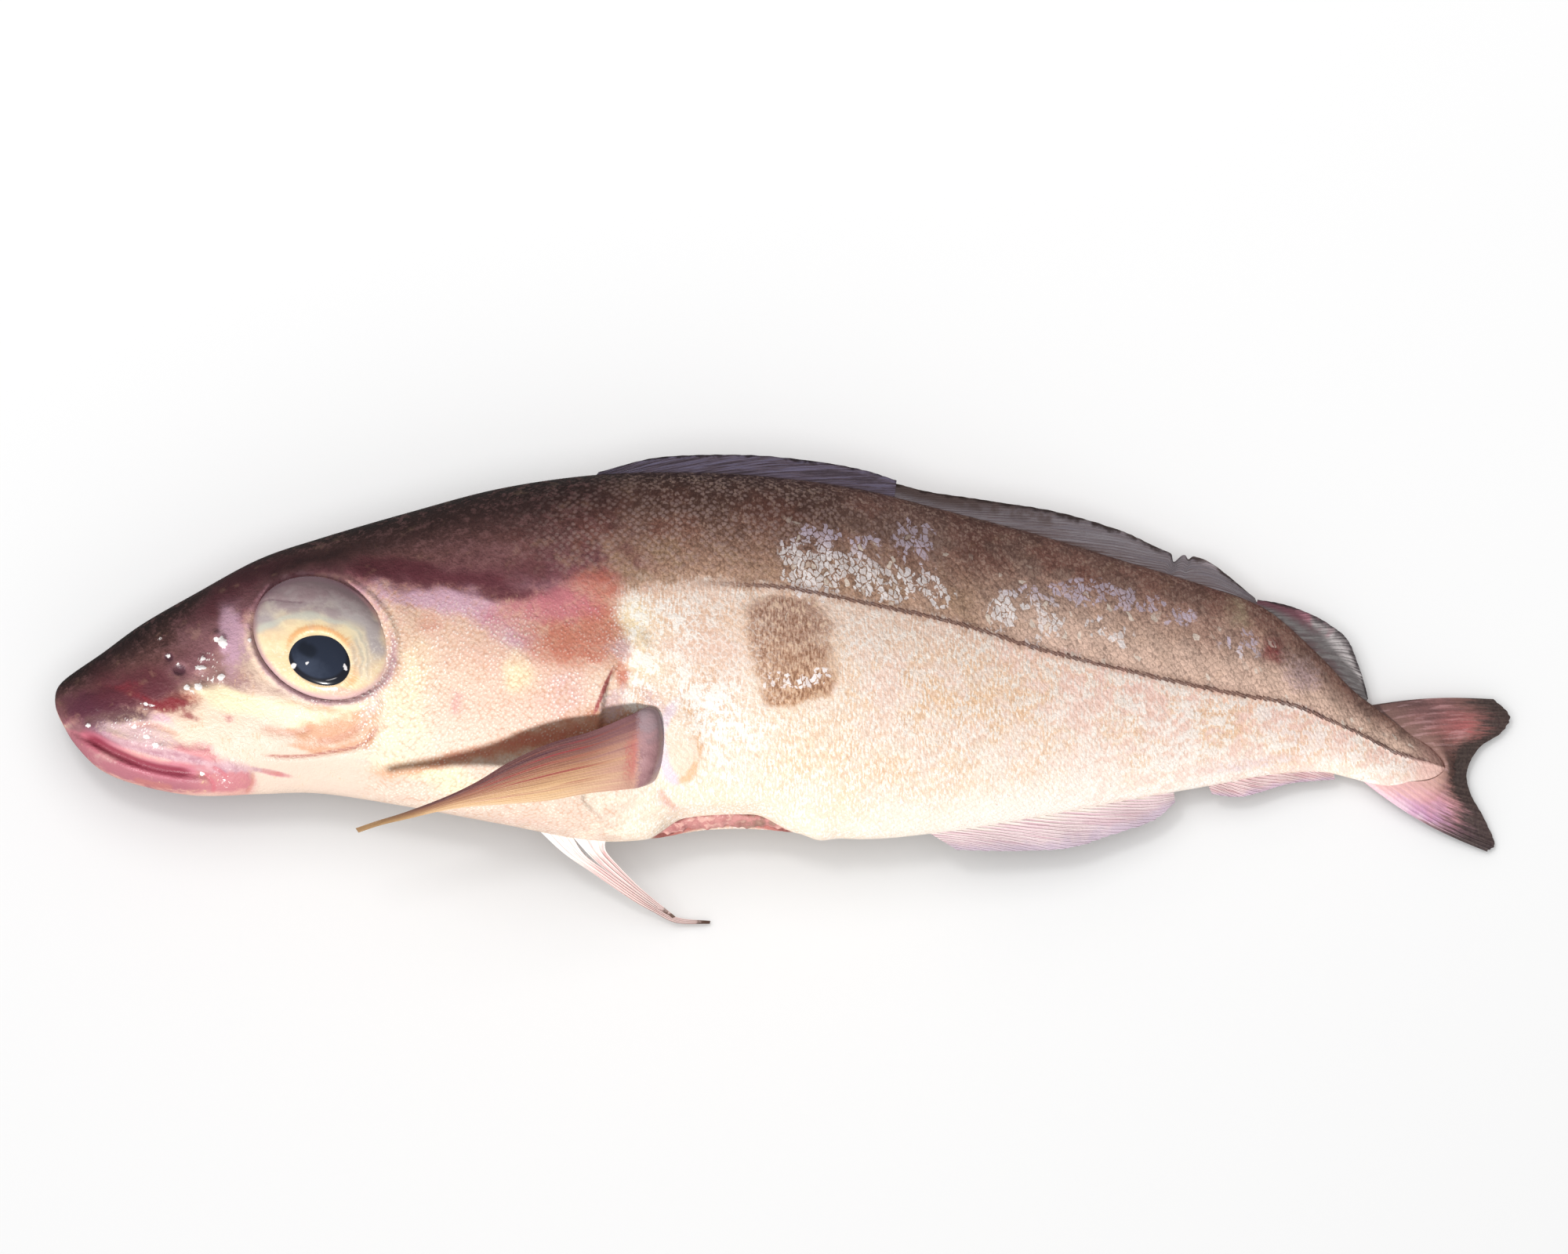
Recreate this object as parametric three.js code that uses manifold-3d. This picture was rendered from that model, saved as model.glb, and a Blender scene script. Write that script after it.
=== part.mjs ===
// A whole gutted haddock lying on its right side, with its left side up and its left pectoral fin flipped forward.
// Millimetres. While it is modelled, x runs from the snout to the tail, y from the fish's axis up to its back,
// and z from the surface that it lies on. The last lines centre the fish over the origin.
import * as THREE from "three";
import { mergeVertices } from "three/addons/utils/BufferGeometryUtils.js";
import Module from "manifold-3d";

const wasm = await Module();
wasm.setup();
const { clamp, degToRad, lerp, smoothstep } = THREE.MathUtils;

// ---------------------------------------------------------------- driving dimensions

const CLEARANCE = 0.3; // gap between two pieces that touch on the real fish
const LOWER_SHARE = 0.93; // the lower flank's bulge against the upper one's, as it is pressed by its own weight
const WIDEST_AT = 0.52; // the widest level of a section, as a share of the way from belly to back
const TOP_SEGMENTS = 28; // facets round the upper flank, from back to belly
const LOWER_SEGMENTS = 14; // facets round the lower flank

// The body's lines, frame by frame from the snout to the end of the tail root: the distance from the snout, the
// heights of back and belly over the axis, half the width, and the height of the mid-plane over the counter.
const FRAMES = [
  [-0.4, -2.3, -2.3, 0, 20],
  [0.1, 0.4, -5.2, 3.4, 20.2],
  [1.8, 2.8, -9, 5.6, 20.6],
  [5.7, 5.8, -15.1, 8.2, 21.2],
  [12.8, 10.6, -21.8, 11.2, 22],
  [23.9, 18.6, -26, 14.2, 23],
  [38.9, 27.2, -28.6, 17.2, 24],
  [56, 36.4, -28.2, 19.8, 24.6],
  [73, 42.2, -28, 22, 25],
  [97, 49.2, -31.6, 25.2, 25.4],
  [123, 56, -36.4, 28, 25.6],
  [151, 59.8, -41.2, 29.8, 25.6],
  [179, 60.2, -38.8, 30.2, 25.2],
  [201, 58.6, -38.6, 29.4, 24.6],
  [222, 55.6, -40.6, 27.4, 23],
  [244.1, 50.1, -38.7, 24.2, 20.8],
  [270.2, 43.3, -34.6, 20, 17.4],
  [295.4, 35.7, -30, 16, 14.2],
  [317.7, 28.9, -26.2, 12.6, 11.4],
  [333.9, 22.6, -23.3, 10.2, 9.6],
  [348, 10.5, -22.3, 8, 8],
  [358.2, 0.1, -24.3, 6.2, 7],
  [367.3, -6.4, -26.9, 4.6, 6.2],
  [376.4, -11.6, -26.8, 3.2, 5.6],
  [382.5, -16.3, -25.2, 2, 5.2],
  [384.9, -20.9, -20.9, 0, 5],
];

// How the skin is divided lengthwise: up to each distance from the snout, the number of rings.
const RINGS = [
  [1.8, 3], [12.8, 4], [44, 11], [97, 9], [146, 7], [151, 1], [153, 2], [158, 1],
  [222, 7], [317.7, 8], [358.2, 5], [376.4, 4], [384.9, 4],
];

const EYE_AT = [74.6, 14.8]; // x and y of the eye's centre
const EYE_RADII = [19.4, 15.3, 7];
const EYE_TURN = degToRad(-28); // the eye's long axis runs down towards the gill cover
const EYE_PROUD = 4.2; // how far the eye stands out of the cheek
const EYE_TILT = degToRad(7); // its slope outwards and backwards, with the cheek's
const PUPIL_AT = [74.3, 9.4];
const PUPIL_RADII = [8.2, 6.7, 2.6];
const PUPIL_SUNK = 2; // depth of the pupil's centre below the eye's top
const BROW = { height: 0.9, along: 23, across: 19.5, soft: 0.16 }; // the raised rim round the eye
const CHEEK_CREASE = { x: 70, y: 12, radius: 29.4, half: 2.2, depth: 0.9 }; // the fold that runs round below the eye

const GILL_EDGE_X = 152; // where the gill cover ends
const GILL_LOBE = { reach: 7, y: 13.5, half: 7 }; // the soft lobe on its rear edge
const GILL_SWEEP = 0.005; // how its edge draws forward towards the throat
const GILL_STEP = 2.2; // thickness of the cover at its rear edge
const MOUTH = { from: 2, to: 46, y: -8.5, drop: 13.5, curve: 0.7, depth: 2.2, lip: 1 };
const MOUTH_SHARE = 9 / 14; // where the skin's facets meet the mouth, as a share of the way from back to belly
const JAW_FLAP = { x: 55, y: -21, step: 1.6 }; // the fleshy corner of the jaw
const NOSTRILS = [[33, 8.5, 1.4], [35.6, 6.2, 1.8]]; // x, y and radius of each pit
const NOSTRIL_DEPTH = 1.6;
const FIN_BASE = { x: 169.6, y: -14, along: 8.4, across: 11, height: 3.4 }; // the fleshy pad behind the pectoral fin
const VENT = { x: 210, half: 4, height: 1.4 };
const BELLY_CUT = { from: 160, to: 204, lift: 3, y: -38.4, rise: 5, half: 3, sunk: 0.5 }; // the slit it was gutted through

const SKIN = { color: 0xa08c82, roughness: 0.45 };
const FIN_SKIN = { color: 0x8d7c7c, roughness: 0.5 };
const PALE_FIN = { color: 0xd8bfc4, roughness: 0.5 };
const AMBER_FIN = { color: 0xb98f68, roughness: 0.45 };
const EYE_SURFACE = { color: 0xd9c08a, roughness: 0.15 };
const PUPIL_SURFACE = { color: 0x1d2530, roughness: 0.08 };
const FLESH = { color: 0xc9706c, roughness: 0.35 };

// ---------------------------------------------------------------- solids and booleans

// The closed geometry as a solid: only positions are kept, so that the shared vertices merge.
function toSolid(geometry) {
  const bare = geometry.index ? geometry.toNonIndexed() : geometry.clone();
  const positions = new THREE.BufferGeometry().setAttribute("position", bare.getAttribute("position"));
  const merged = mergeVertices(positions, 1e-4);
  return new wasm.Manifold(
    new wasm.Mesh({
      numProp: 3,
      vertProperties: merged.attributes.position.array,
      triVerts: new Uint32Array(merged.index.array),
    }),
  );
}

function toGeometry(solid) {
  const { vertProperties, triVerts } = solid.getMesh();
  const geometry = new THREE.BufferGeometry().setAttribute("position", new THREE.BufferAttribute(vertProperties, 3));
  return geometry.setIndex(new THREE.BufferAttribute(triVerts, 1));
}

function piece(name, geometry, surface) {
  geometry.computeVertexNormals();
  const mesh = new THREE.Mesh(geometry, new THREE.MeshStandardMaterial({ metalness: 0, ...surface }));
  mesh.name = name;
  return mesh;
}

function line(points) {
  const places = points.map(([x, y, z = 0]) => new THREE.Vector3(x, y, z));
  return new THREE.CatmullRomCurve3(places, false, "catmullrom", 0.5);
}

// ---------------------------------------------------------------- the body

const outline = line(FRAMES.map(([x, back, belly]) => [x, back, belly]));
const girth = line(FRAMES.map(([x, , , half, middle]) => [x, half, middle]));

function frameAt(t) {
  const { x, y: back, z: belly } = outline.getPoint(t);
  const { y: half, z: middle } = girth.getPoint(t);
  return { x, back, belly, half, middle };
}

// The frame at a distance from the snout, found by halving.
function frameAtX(x) {
  let low = 0;
  let high = 1;
  for (let i = 0; i < 30; i++) {
    const t = (low + high) / 2;
    if (outline.getPoint(t).x < x) low = t;
    else high = t;
  }
  return frameAt((low + high) / 2);
}

const hump = (distance, half) => Math.exp(-((distance / half) ** 2));
const within = (value, from, to, soft) =>
  smoothstep(value, from - soft, from + soft) * (1 - smoothstep(value, to - soft, to + soft));

function gillEdge(y) {
  const lobe = GILL_LOBE.reach * hump(y - GILL_LOBE.y, GILL_LOBE.half);
  return GILL_EDGE_X + lobe - GILL_SWEEP * Math.max(8 - y, 0) ** 2;
}

function mouthY(x) {
  const reach = clamp((x - MOUTH.from) / (MOUTH.to - MOUTH.from), 0, 1);
  return MOUTH.y - MOUTH.drop * reach ** MOUTH.curve;
}

// How far the skin stands out of the plain section, on either flank.
function relief(x, y) {
  const cover = GILL_STEP * smoothstep(x, 92, 142) * (1 - smoothstep(x, GILL_EDGE_X - 1.2, GILL_EDGE_X + 1.2));
  const gill = cover * within(y, -34, 28, 5);
  const overMouth = y - mouthY(x);
  const cleft = -MOUTH.depth * hump(overMouth + 0.5, 1.6) + MOUTH.lip * (hump(overMouth - 2.6, 2) + hump(overMouth + 4, 2) / 2);
  const mouth = cleft * within(x, MOUTH.from, MOUTH.to - 3, 3);
  const behindFlap = smoothstep(x, JAW_FLAP.x, JAW_FLAP.x + 3) * (1 - smoothstep(x, 70, 95));
  const flap = -JAW_FLAP.step * behindFlap * (1 - smoothstep(y, JAW_FLAP.y - 2, JAW_FLAP.y + 3));
  const toEye = Math.hypot((x - EYE_AT[0]) / BROW.along, (y - EYE_AT[1]) / BROW.across);
  const brow = BROW.height * hump(toEye - 1, BROW.soft);
  const toCrease = Math.hypot(x - CHEEK_CREASE.x, y - CHEEK_CREASE.y) - CHEEK_CREASE.radius;
  const inCheek = smoothstep(x, 54, 64) * (1 - smoothstep(y, -8, 2));
  const crease = -CHEEK_CREASE.depth * inCheek * hump(toCrease, CHEEK_CREASE.half);
  return gill + mouth + flap + brow + crease;
}

function finPad(x, y) {
  const reach = Math.hypot((x - FIN_BASE.x) / FIN_BASE.along, (y - FIN_BASE.y) / FIN_BASE.across);
  return FIN_BASE.height * (1 - smoothstep(reach, 0.45, 1.25));
}

const widestLevel = ({ back, belly }) => lerp(belly, back, WIDEST_AT);

// The angle round a section at which it reaches a height: 0 is the back and half a turn the belly.
function angleAt(frame, y) {
  const widest = widestLevel(frame);
  return Math.acos(clamp((y - widest) / (y > widest ? frame.back - widest : widest - frame.belly), -1, 1));
}

// The angle of a facet line, from its share of the way from back to belly. The lines crowd along the mouth, and
// run evenly spaced behind it.
function lineAngle(frame, share) {
  const mouth = angleAt(frame, mouthY(frame.x));
  const crowded =
    share < MOUTH_SHARE
      ? mouth * (1 - (1 - share / MOUTH_SHARE) ** 1.25)
      : mouth + (Math.PI - mouth) * ((share - MOUTH_SHARE) / (1 - MOUTH_SHARE)) ** 1.25;
  return lerp(crowded, Math.PI * share, smoothstep(frame.x, MOUTH.to, 90));
}

// A point of the skin on a flank, side 1 on the upper one and -1 on the lower one.
function skinPoint(frame, angle, side) {
  const { x, back, belly, half, middle } = frame;
  const up = Math.cos(angle);
  const out = Math.sin(angle);
  const widest = widestLevel(frame);
  let y = widest + up * (up > 0 ? back - widest : widest - belly);
  const bulge = side > 0 ? half : half * LOWER_SHARE;
  const relieved = relief(x, y) + (side > 0 ? finPad(x, y) : 0);
  const z = middle + side * out * (bulge + relieved * smoothstep(half, 0, 5));
  const belowAxis = smoothstep(-up, 0.8, 1);
  y -= VENT.height * belowAxis * hump(x - VENT.x, VENT.half);
  if (side > 0) y += BELLY_CUT.lift * belowAxis * within(x, BELLY_CUT.from + 8, BELLY_CUT.to - 6, 6);
  const alongGill = (gillEdge(y) - GILL_EDGE_X) * hump(x - GILL_EDGE_X, 16) * within(y, -33, 40, 6);
  return [x + alongGill, y, Math.max(z, 0)];
}

// The height of the upper skin over the counter at a place on the shown side.
function upperSkin(x, y) {
  const frame = frameAtX(x);
  return skinPoint(frame, angleAt(frame, y), 1)[2];
}

function ringPlaces() {
  const places = [FRAMES[0][0]];
  for (const [to, count] of RINGS) {
    const from = places.at(-1);
    for (let i = 1; i <= count; i++) places.push(lerp(from, to, i / count));
  }
  return places;
}

// A unit sphere whose circles of latitude are laid on the body's sections, so that its poles are snout and tail root.
function bodyGeometry() {
  const around = TOP_SEGMENTS + LOWER_SEGMENTS;
  const places = ringPlaces();
  const geometry = new THREE.SphereGeometry(1, around, places.length - 1);
  const position = geometry.getAttribute("position");
  places.forEach((x, ring) => {
    const frame = frameAtX(x);
    for (let i = 0; i <= around; i++) {
      const side = i <= LOWER_SEGMENTS ? -1 : 1;
      const share = side < 0 ? i / LOWER_SEGMENTS : (around - i) / TOP_SEGMENTS;
      const point = skinPoint(frame, lineAngle(frame, share), side);
      position.setXYZ(ring * (around + 1) + i, ...point);
    }
  });
  return geometry;
}

// ---------------------------------------------------------------- eyes

// An ellipsoid on a flank: it lies on the cheek's slope, side 1 on the shown flank and -1 on the one below.
function ellipsoid([rx, ry, rz], [x, y, z], side, grow, segments) {
  const geometry = new THREE.SphereGeometry(1, segments, Math.round(segments * 0.6));
  geometry.rotateX(Math.PI / 2);
  geometry.scale(rx + grow, ry + grow, rz + grow);
  geometry.rotateZ(EYE_TURN);
  geometry.rotateX(side * -EYE_TILT);
  geometry.rotateY(side * -EYE_TILT);
  return geometry.translate(x, y, z);
}

function eyeHeight(side) {
  const { half, middle } = frameAtX(EYE_AT[0]);
  const cheek = side > 0 ? middle + half : middle - half * LOWER_SHARE;
  const proud = side > 0 ? EYE_PROUD : EYE_PROUD - 1.2;
  return cheek + side * (proud - EYE_RADII[2]);
}

const eyeball = (side, grow) => ellipsoid(EYE_RADII, [...EYE_AT, eyeHeight(side)], side, grow, 20);

function pupil(side, grow) {
  const top = eyeHeight(side) + side * (EYE_RADII[2] - PUPIL_SUNK);
  return ellipsoid(PUPIL_RADII, [...PUPIL_AT, top], side, grow, 14);
}

// ---------------------------------------------------------------- fins

// A closed thin sheet over a grid. point(u, v) gives its middle and half its thickness, and both faces split alike.
function sheet(columns, rows, point) {
  const positions = [];
  const index = [];
  const layer = (columns + 1) * (rows + 1);
  for (const side of [1, -1])
    for (let i = 0; i <= columns; i++)
      for (let j = 0; j <= rows; j++) {
        const [x, y, z, half] = point(i / columns, j / rows);
        positions.push(x, y, z + side * half);
      }
  const at = (i, j, lower) => i * (rows + 1) + j + (lower ? layer : 0);
  const quad = (a, b, c, d) => index.push(a, b, c, a, c, d);
  for (let i = 0; i < columns; i++) {
    for (let j = 0; j < rows; j++) {
      quad(at(i, j), at(i + 1, j), at(i + 1, j + 1), at(i, j + 1));
      index.push(at(i, j, 1), at(i + 1, j + 1, 1), at(i + 1, j, 1));
      index.push(at(i, j, 1), at(i, j + 1, 1), at(i + 1, j + 1, 1));
    }
    quad(at(i, 0, 1), at(i + 1, 0, 1), at(i + 1, 0), at(i, 0));
    quad(at(i, rows), at(i + 1, rows), at(i + 1, rows, 1), at(i, rows, 1));
  }
  for (let j = 0; j < rows; j++) {
    quad(at(0, j), at(0, j + 1), at(0, j + 1, 1), at(0, j, 1));
    quad(at(columns, j, 1), at(columns, j + 1, 1), at(columns, j + 1), at(columns, j));
  }
  const geometry = new THREE.BufferGeometry();
  geometry.setAttribute("position", new THREE.Float32BufferAttribute(positions, 3));
  geometry.setIndex(index);
  const solid = toSolid(geometry);
  if (solid.volume() > 0) return geometry;
  for (let i = 0; i < index.length; i += 3) [index[i + 1], index[i + 2]] = [index[i + 2], index[i + 1]];
  return geometry.setIndex(index);
}

// A fin between its root and its free edge. Rays are ridges from one to the other, and the web between two rays is
// thinner and ends short of them. bows are how far the first and the last ray bend out half way along.
function fin({ root, edge, rays, rows = 4, thick = 1.8, thin = 0.7, notch = 0.05, bows = [[0, 0, 0], [0, 0, 0]] }) {
  const rootLine = line(root);
  const edgeLine = line(edge);
  const [firstBow, lastBow] = bows.map((bow) => new THREE.Vector3(...bow));
  return sheet(2 * (rays - 1), rows, (u, v) => {
    const onRay = Math.round(u * 2 * (rays - 1)) % 2 === 0;
    const reach = onRay ? v : v * (1 - notch);
    const bow = firstBow.clone().lerp(lastBow, u);
    const place = rootLine.getPoint(u).lerp(edgeLine.getPoint(u), reach).addScaledVector(bow, Math.sin(Math.PI * v));
    const half = (lerp(thick, thin, v) * (onRay ? 1 : 0.6)) / 2;
    return [place.x, place.y, place.z, half];
  });
}

const middleAt = (x) => frameAtX(x).middle;
const onBack = (x, off = 0.5) => [x, frameAtX(x).back + off, middleAt(x)];
const onBelly = (x, off = 0.5) => [x, frameAtX(x).belly - off, middleAt(x)];
const inPlane = (points) => points.map(([x, y]) => [x, y, middleAt(x)]);

const firstDorsal = {
  root: [150, 165, 180, 195, 210, 222, 229].map((x) => onBack(x)),
  edge: inPlane([[153, 62], [164, 64.2], [178, 65.2], [194, 65], [211, 63.2], [224, 60.4], [232, 57.8]]),
  rays: 14,
  rows: 2,
};

const secondDorsal = {
  root: [238, 255, 272, 289, 305, 318, 330].map((x) => onBack(x)),
  edge: inPlane([[237, 55.8], [256, 52.8], [276, 49.8], [293.5, 44.7], [306.5, 38.7], [317.6, 36.3], [330.4, 26]]),
  rays: 16,
  rows: 3,
};

const thirdDorsal = {
  root: [334, 338, 343, 348, 353, 357.5, 361].map((x) => onBack(x, 0.8)),
  edge: inPlane([[336, 25.2], [344, 22.4], [351, 19.2], [356.5, 15], [359.3, 8], [361.2, 2], [362.2, -2]]),
  rays: 12,
};

const firstAnal = {
  root: [238, 252, 266, 280, 294, 308].map((x) => onBelly(x)),
  edge: inPlane([[248.2, -43.7], [264.3, -44.1], [279.3, -43.3], [291.4, -39.6], [302.4, -35.8], [308.4, -30.8]]),
  rays: 15,
  rows: 3,
};

const secondAnal = {
  root: [317, 323, 330, 338, 346, 352].map((x) => onBelly(x)),
  edge: inPlane([[318.8, -28.5], [325.8, -29.3], [331.9, -28.1], [339.9, -25.7], [347, -24.9], [353, -24.5]]),
  rays: 12,
  rows: 2,
};

const tailFin = {
  root: [
    ...[363.5, 370, 377, 382.5].map((x) => onBack(x, 1)),
    [386.2, -20.9, 5],
    ...[382.5, 376, 368, 359].map((x) => onBelly(x, 1)),
  ],
  edge: [
    [397.4, -2.2, 4], [401.8, -6.8, 3.4], [399.6, -11.4, 3.4], [393.2, -15.8, 3.8], [389.8, -22.3, 4],
    [391, -28.8, 3.6], [394.6, -35, 3], [397.7, -42.4, 2.2], [395.6, -44.6, 2.2],
  ],
  rays: 23,
  thick: 2.2,
  notch: 0.02,
  bows: [[0, 1.2, 0], [-0.6, -2, 0]],
};

// The fin stands clear of the cheek that it is flipped over, so its root starts just above the skin.
const PECTORAL_LIFT = 2.2;
const leftPectoral = {
  root: [[161, -3], [162.6, -8.6], [163.4, -14.2], [163.8, -19.8], [163.4, -25.2]].map(([x, y]) => [
    x,
    y,
    upperSkin(x, y) + PECTORAL_LIFT,
  ]),
  edge: [[84.2, -36.8, 57], [84.4, -37.4, 56.4], [85, -38, 55.8]],
  rays: 10,
  rows: 7,
  thick: 2.4,
  notch: 0,
  bows: [[0, 0.4, 4], [0, 1.8, 4]],
};

// The hidden fin lies back along the lower flank, in the wedge between belly and counter.
const rightPectoral = {
  root: [[158, -23.6, 2.6], [157.4, -27.4, 3.4], [157.6, -31, 4.6]],
  edge: [[226, -29, 2.4], [225, -31, 2.4], [223, -33, 2.6]],
  rays: 10,
  rows: 4,
  notch: 0.03,
};

// The two long, narrow fins under the throat hang down to the counter side by side.
const leftPelvic = {
  root: [[142.6, -41.6, 27.4], [147, -42.8, 27.4], [151.4, -43.4, 27.4]],
  edge: [[169.4, -62.4, 8.6], [169.9, -62.7, 8.6], [170.4, -63, 8.6]],
  rays: 4,
  rows: 8,
  notch: 0,
  bows: [[-0.4, -0.4, 0], [-1, -0.6, 0]],
};

const rightPelvic = {
  root: [[131.4, -39.6, 22.6], [136.4, -41, 22.6], [141.6, -42.2, 22.6]],
  edge: [[178.4, -65, 1.8], [179.2, -64.6, 1.8], [180, -64, 1.8]],
  rays: 5,
  rows: 8,
  notch: 0,
  bows: [[-1.2, -2.4, 0], [-1.5, -2.6, 0]],
};

// ---------------------------------------------------------------- the gutting cut

// The room that the slit gapes open to: a long lens on the belly's edge.
function gape(grow) {
  const { from, to, y, rise, half } = BELLY_CUT;
  const middle = (from + to) / 2;
  const lens = new THREE.SphereGeometry(1, 24, 12);
  lens.scale((to - from) / 2 + grow, rise + grow, half + grow);
  return toSolid(lens.translate(middle, y, middleAt(middle)));
}

// ---------------------------------------------------------------- the fish

const uncut = toSolid(bodyGeometry());

function buildBody() {
  let body = uncut.subtract(gape(CLEARANCE));
  for (const side of [1, -1]) {
    body = body.subtract(toSolid(eyeball(side, CLEARANCE)));
    const { half, middle } = frameAtX(NOSTRILS[0][0]);
    const cheek = middle + side * half * (side > 0 ? 0.98 : LOWER_SHARE);
    for (const [x, y, radius] of NOSTRILS)
      body = body.subtract(toSolid(ellipsoid([radius, radius * 0.7, 1.6], [x, y, cheek], side, 0, 10)));
  }
  return body;
}

function buildEye(side) {
  const lens = toSolid(pupil(side, CLEARANCE));
  return toGeometry(toSolid(eyeball(side, 0)).subtract(lens));
}

// The pink lining of the belly wall fills the slit and lies a little deeper than the skin.
const buildLining = () => gape(0).intersect(uncut.translate(0, BELLY_CUT.sunk, 0));

const fish = new THREE.Group();
fish.add(
  piece("body", toGeometry(buildBody()), SKIN),
  piece("eye_left", buildEye(1), EYE_SURFACE),
  piece("eye_right", buildEye(-1), EYE_SURFACE),
  piece("pupil_left", pupil(1, 0), PUPIL_SURFACE),
  piece("pupil_right", pupil(-1, 0), PUPIL_SURFACE),
  piece("dorsal_fin_first", fin(firstDorsal), FIN_SKIN),
  piece("dorsal_fin_second", fin(secondDorsal), FIN_SKIN),
  piece("dorsal_fin_third", fin(thirdDorsal), FIN_SKIN),
  piece("anal_fin_first", fin(firstAnal), PALE_FIN),
  piece("anal_fin_second", fin(secondAnal), PALE_FIN),
  piece("tail_fin", fin(tailFin), FIN_SKIN),
  piece("pectoral_fin_left", fin(leftPectoral), AMBER_FIN),
  piece("pectoral_fin_right", fin(rightPectoral), AMBER_FIN),
  piece("pelvic_fin_left", fin(leftPelvic), PALE_FIN),
  piece("pelvic_fin_right", fin(rightPelvic), PALE_FIN),
  piece("belly_lining", toGeometry(buildLining()), FLESH),
);

const box = new THREE.Box3().setFromObject(fish);
const centre = box.getCenter(new THREE.Vector3());
fish.position.set(-centre.x, -centre.y, -box.min.z);

export default fish;
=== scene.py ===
from math import cos, pi, radians, sin, tau

import bmesh
import bpy
import mathutils
import numpy as np
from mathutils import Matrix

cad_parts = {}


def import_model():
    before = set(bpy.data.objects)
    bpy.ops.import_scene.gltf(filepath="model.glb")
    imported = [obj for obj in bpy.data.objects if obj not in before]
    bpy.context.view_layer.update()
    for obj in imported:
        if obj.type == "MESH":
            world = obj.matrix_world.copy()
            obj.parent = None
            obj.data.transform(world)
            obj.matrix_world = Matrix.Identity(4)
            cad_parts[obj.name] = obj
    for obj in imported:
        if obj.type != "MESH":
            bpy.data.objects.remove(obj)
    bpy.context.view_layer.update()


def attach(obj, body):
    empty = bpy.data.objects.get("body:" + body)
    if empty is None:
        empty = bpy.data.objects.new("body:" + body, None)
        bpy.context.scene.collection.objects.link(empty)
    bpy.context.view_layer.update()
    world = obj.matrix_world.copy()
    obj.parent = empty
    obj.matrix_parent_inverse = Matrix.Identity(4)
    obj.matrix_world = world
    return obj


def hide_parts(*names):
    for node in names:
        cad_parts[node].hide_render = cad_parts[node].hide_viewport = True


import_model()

# ---------------------------------------------------------------- the skinned body
# The body is one closed skin from the snout to the root of the tail, fine scaled and wet with slime, dark
# over the back and white below. Lengths are millimetres on the fish itself: x from the snout to the tail,
# y up to the back from the axis, z up from the counter that it lies on.

ORIGIN = (200.732, 0.140)  # where the model's origin lies on the fish

# The distance from the snout, the heights of back and belly, half the width, and the height of the mid-
# plane.
FRAMES = [
    (-0.4, -2.3, -2.3, 0, 20), (0.1, 0.4, -5.2, 3.4, 20.2), (1.8, 2.8, -9, 5.6, 20.6),
    (5.7, 5.8, -15.1, 8.2, 21.2), (12.8, 10.6, -21.8, 11.2, 22), (23.9, 18.6, -26, 14.2, 23),
    (38.9, 27.2, -28.6, 17.2, 24), (56, 36.4, -28.2, 19.8, 24.6), (73, 42.2, -28, 22, 25),
    (97, 49.2, -31.6, 25.2, 25.4), (123, 56, -36.4, 28, 25.6), (151, 59.8, -41.2, 29.8, 25.6),
    (179, 60.2, -38.8, 30.2, 25.2), (201, 58.6, -38.6, 29.4, 24.6), (222, 55.6, -40.6, 27.4, 23),
    (244.1, 50.1, -38.7, 24.2, 20.8), (270.2, 43.3, -34.6, 20, 17.4), (295.4, 35.7, -30, 16, 14.2),
    (317.7, 28.9, -26.2, 12.6, 11.4), (333.9, 22.6, -23.3, 10.2, 9.6), (348, 10.5, -22.3, 8, 8),
    (358.2, 0.1, -24.3, 6.2, 7), (367.3, -6.4, -26.9, 4.6, 6.2), (376.4, -11.6, -26.8, 3.2, 5.6),
    (382.5, -16.3, -25.2, 2, 5.2), (384.9, -20.9, -20.9, 0, 5),
]
WIDEST_AT = 0.52  # the widest level of a section, as a share of the way from belly to back
LOWER_SHARE = 0.93  # the lower flank is pressed a little flatter
FISH_LENGTH = 400  # about, from the snout to the tips of the tail
# How finely the skin is divided: rings up to each distance from the snout, and steps round each flank.
RINGS = [(1.8, 10), (97, 158), (146, 50), (162, 40), (222, 50), (376.4, 88), (384.9, 12)]
UPPER_STEPS, LOWER_STEPS = 132, 84

# Where the dark of the back ends: over snout, eye and gill cover, and then along the lateral line.
SHADE_LINE = [
    (-4, -12), (1.1, -10.2), (12.9, -4.8), (28, -2.3), (40.9, 7), (51.7, 19.9), (62, 29), (74, 32),
    (88.4, 30.7), (105.6, 29), (133.6, 28.6), (148.7, 29.6), (178.9, 29.6), (200.4, 28.6), (221.3, 24.6),
    (246.1, 19.3), (270.9, 11.7), (295.7, 5.6), (320.5, 0.2), (339, -3.2), (348.5, -6.8), (361, -12.4),
    (370.4, -17.1), (386, -22),
]
# The gill cover's rear edge: where it is, the lobe that reaches further back, its sweep below, and its
# step.
GILL_EDGE_X = 152
GILL_LOBE = {"reach": 7, "y": 13.5, "half": 7}
GILL_SWEEP, GILL_STEP = 0.005, 2.2
UPPER_LIP = [(1, -8.4), (9.3, -11.8), (16.8, -14), (29.5, -16.8), (42, -18.7), (52, -20.2)]
MOUTH_LINE = [(1, -9.4), (10.5, -13.2), (16.8, -16.6), (26.3, -20.4), (35.8, -22), (45, -22.4)]
EYE_AT = (74.6, 14.8)
EYE_RADII = (19.4, 15.3, 7)
EYE_TURN = radians(-28)
SOCKET_DEPTH = 5.5
BROW_RADII, BROW_HEIGHT = (23, 19.5), 0.7
MOUTH_DEPTH = 2.2
VENT = {"x": 210, "half": 4, "height": 1.4}
SLIT = {"from": 164, "to": 204, "depth": 3.1, "lift": 4.2}
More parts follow.
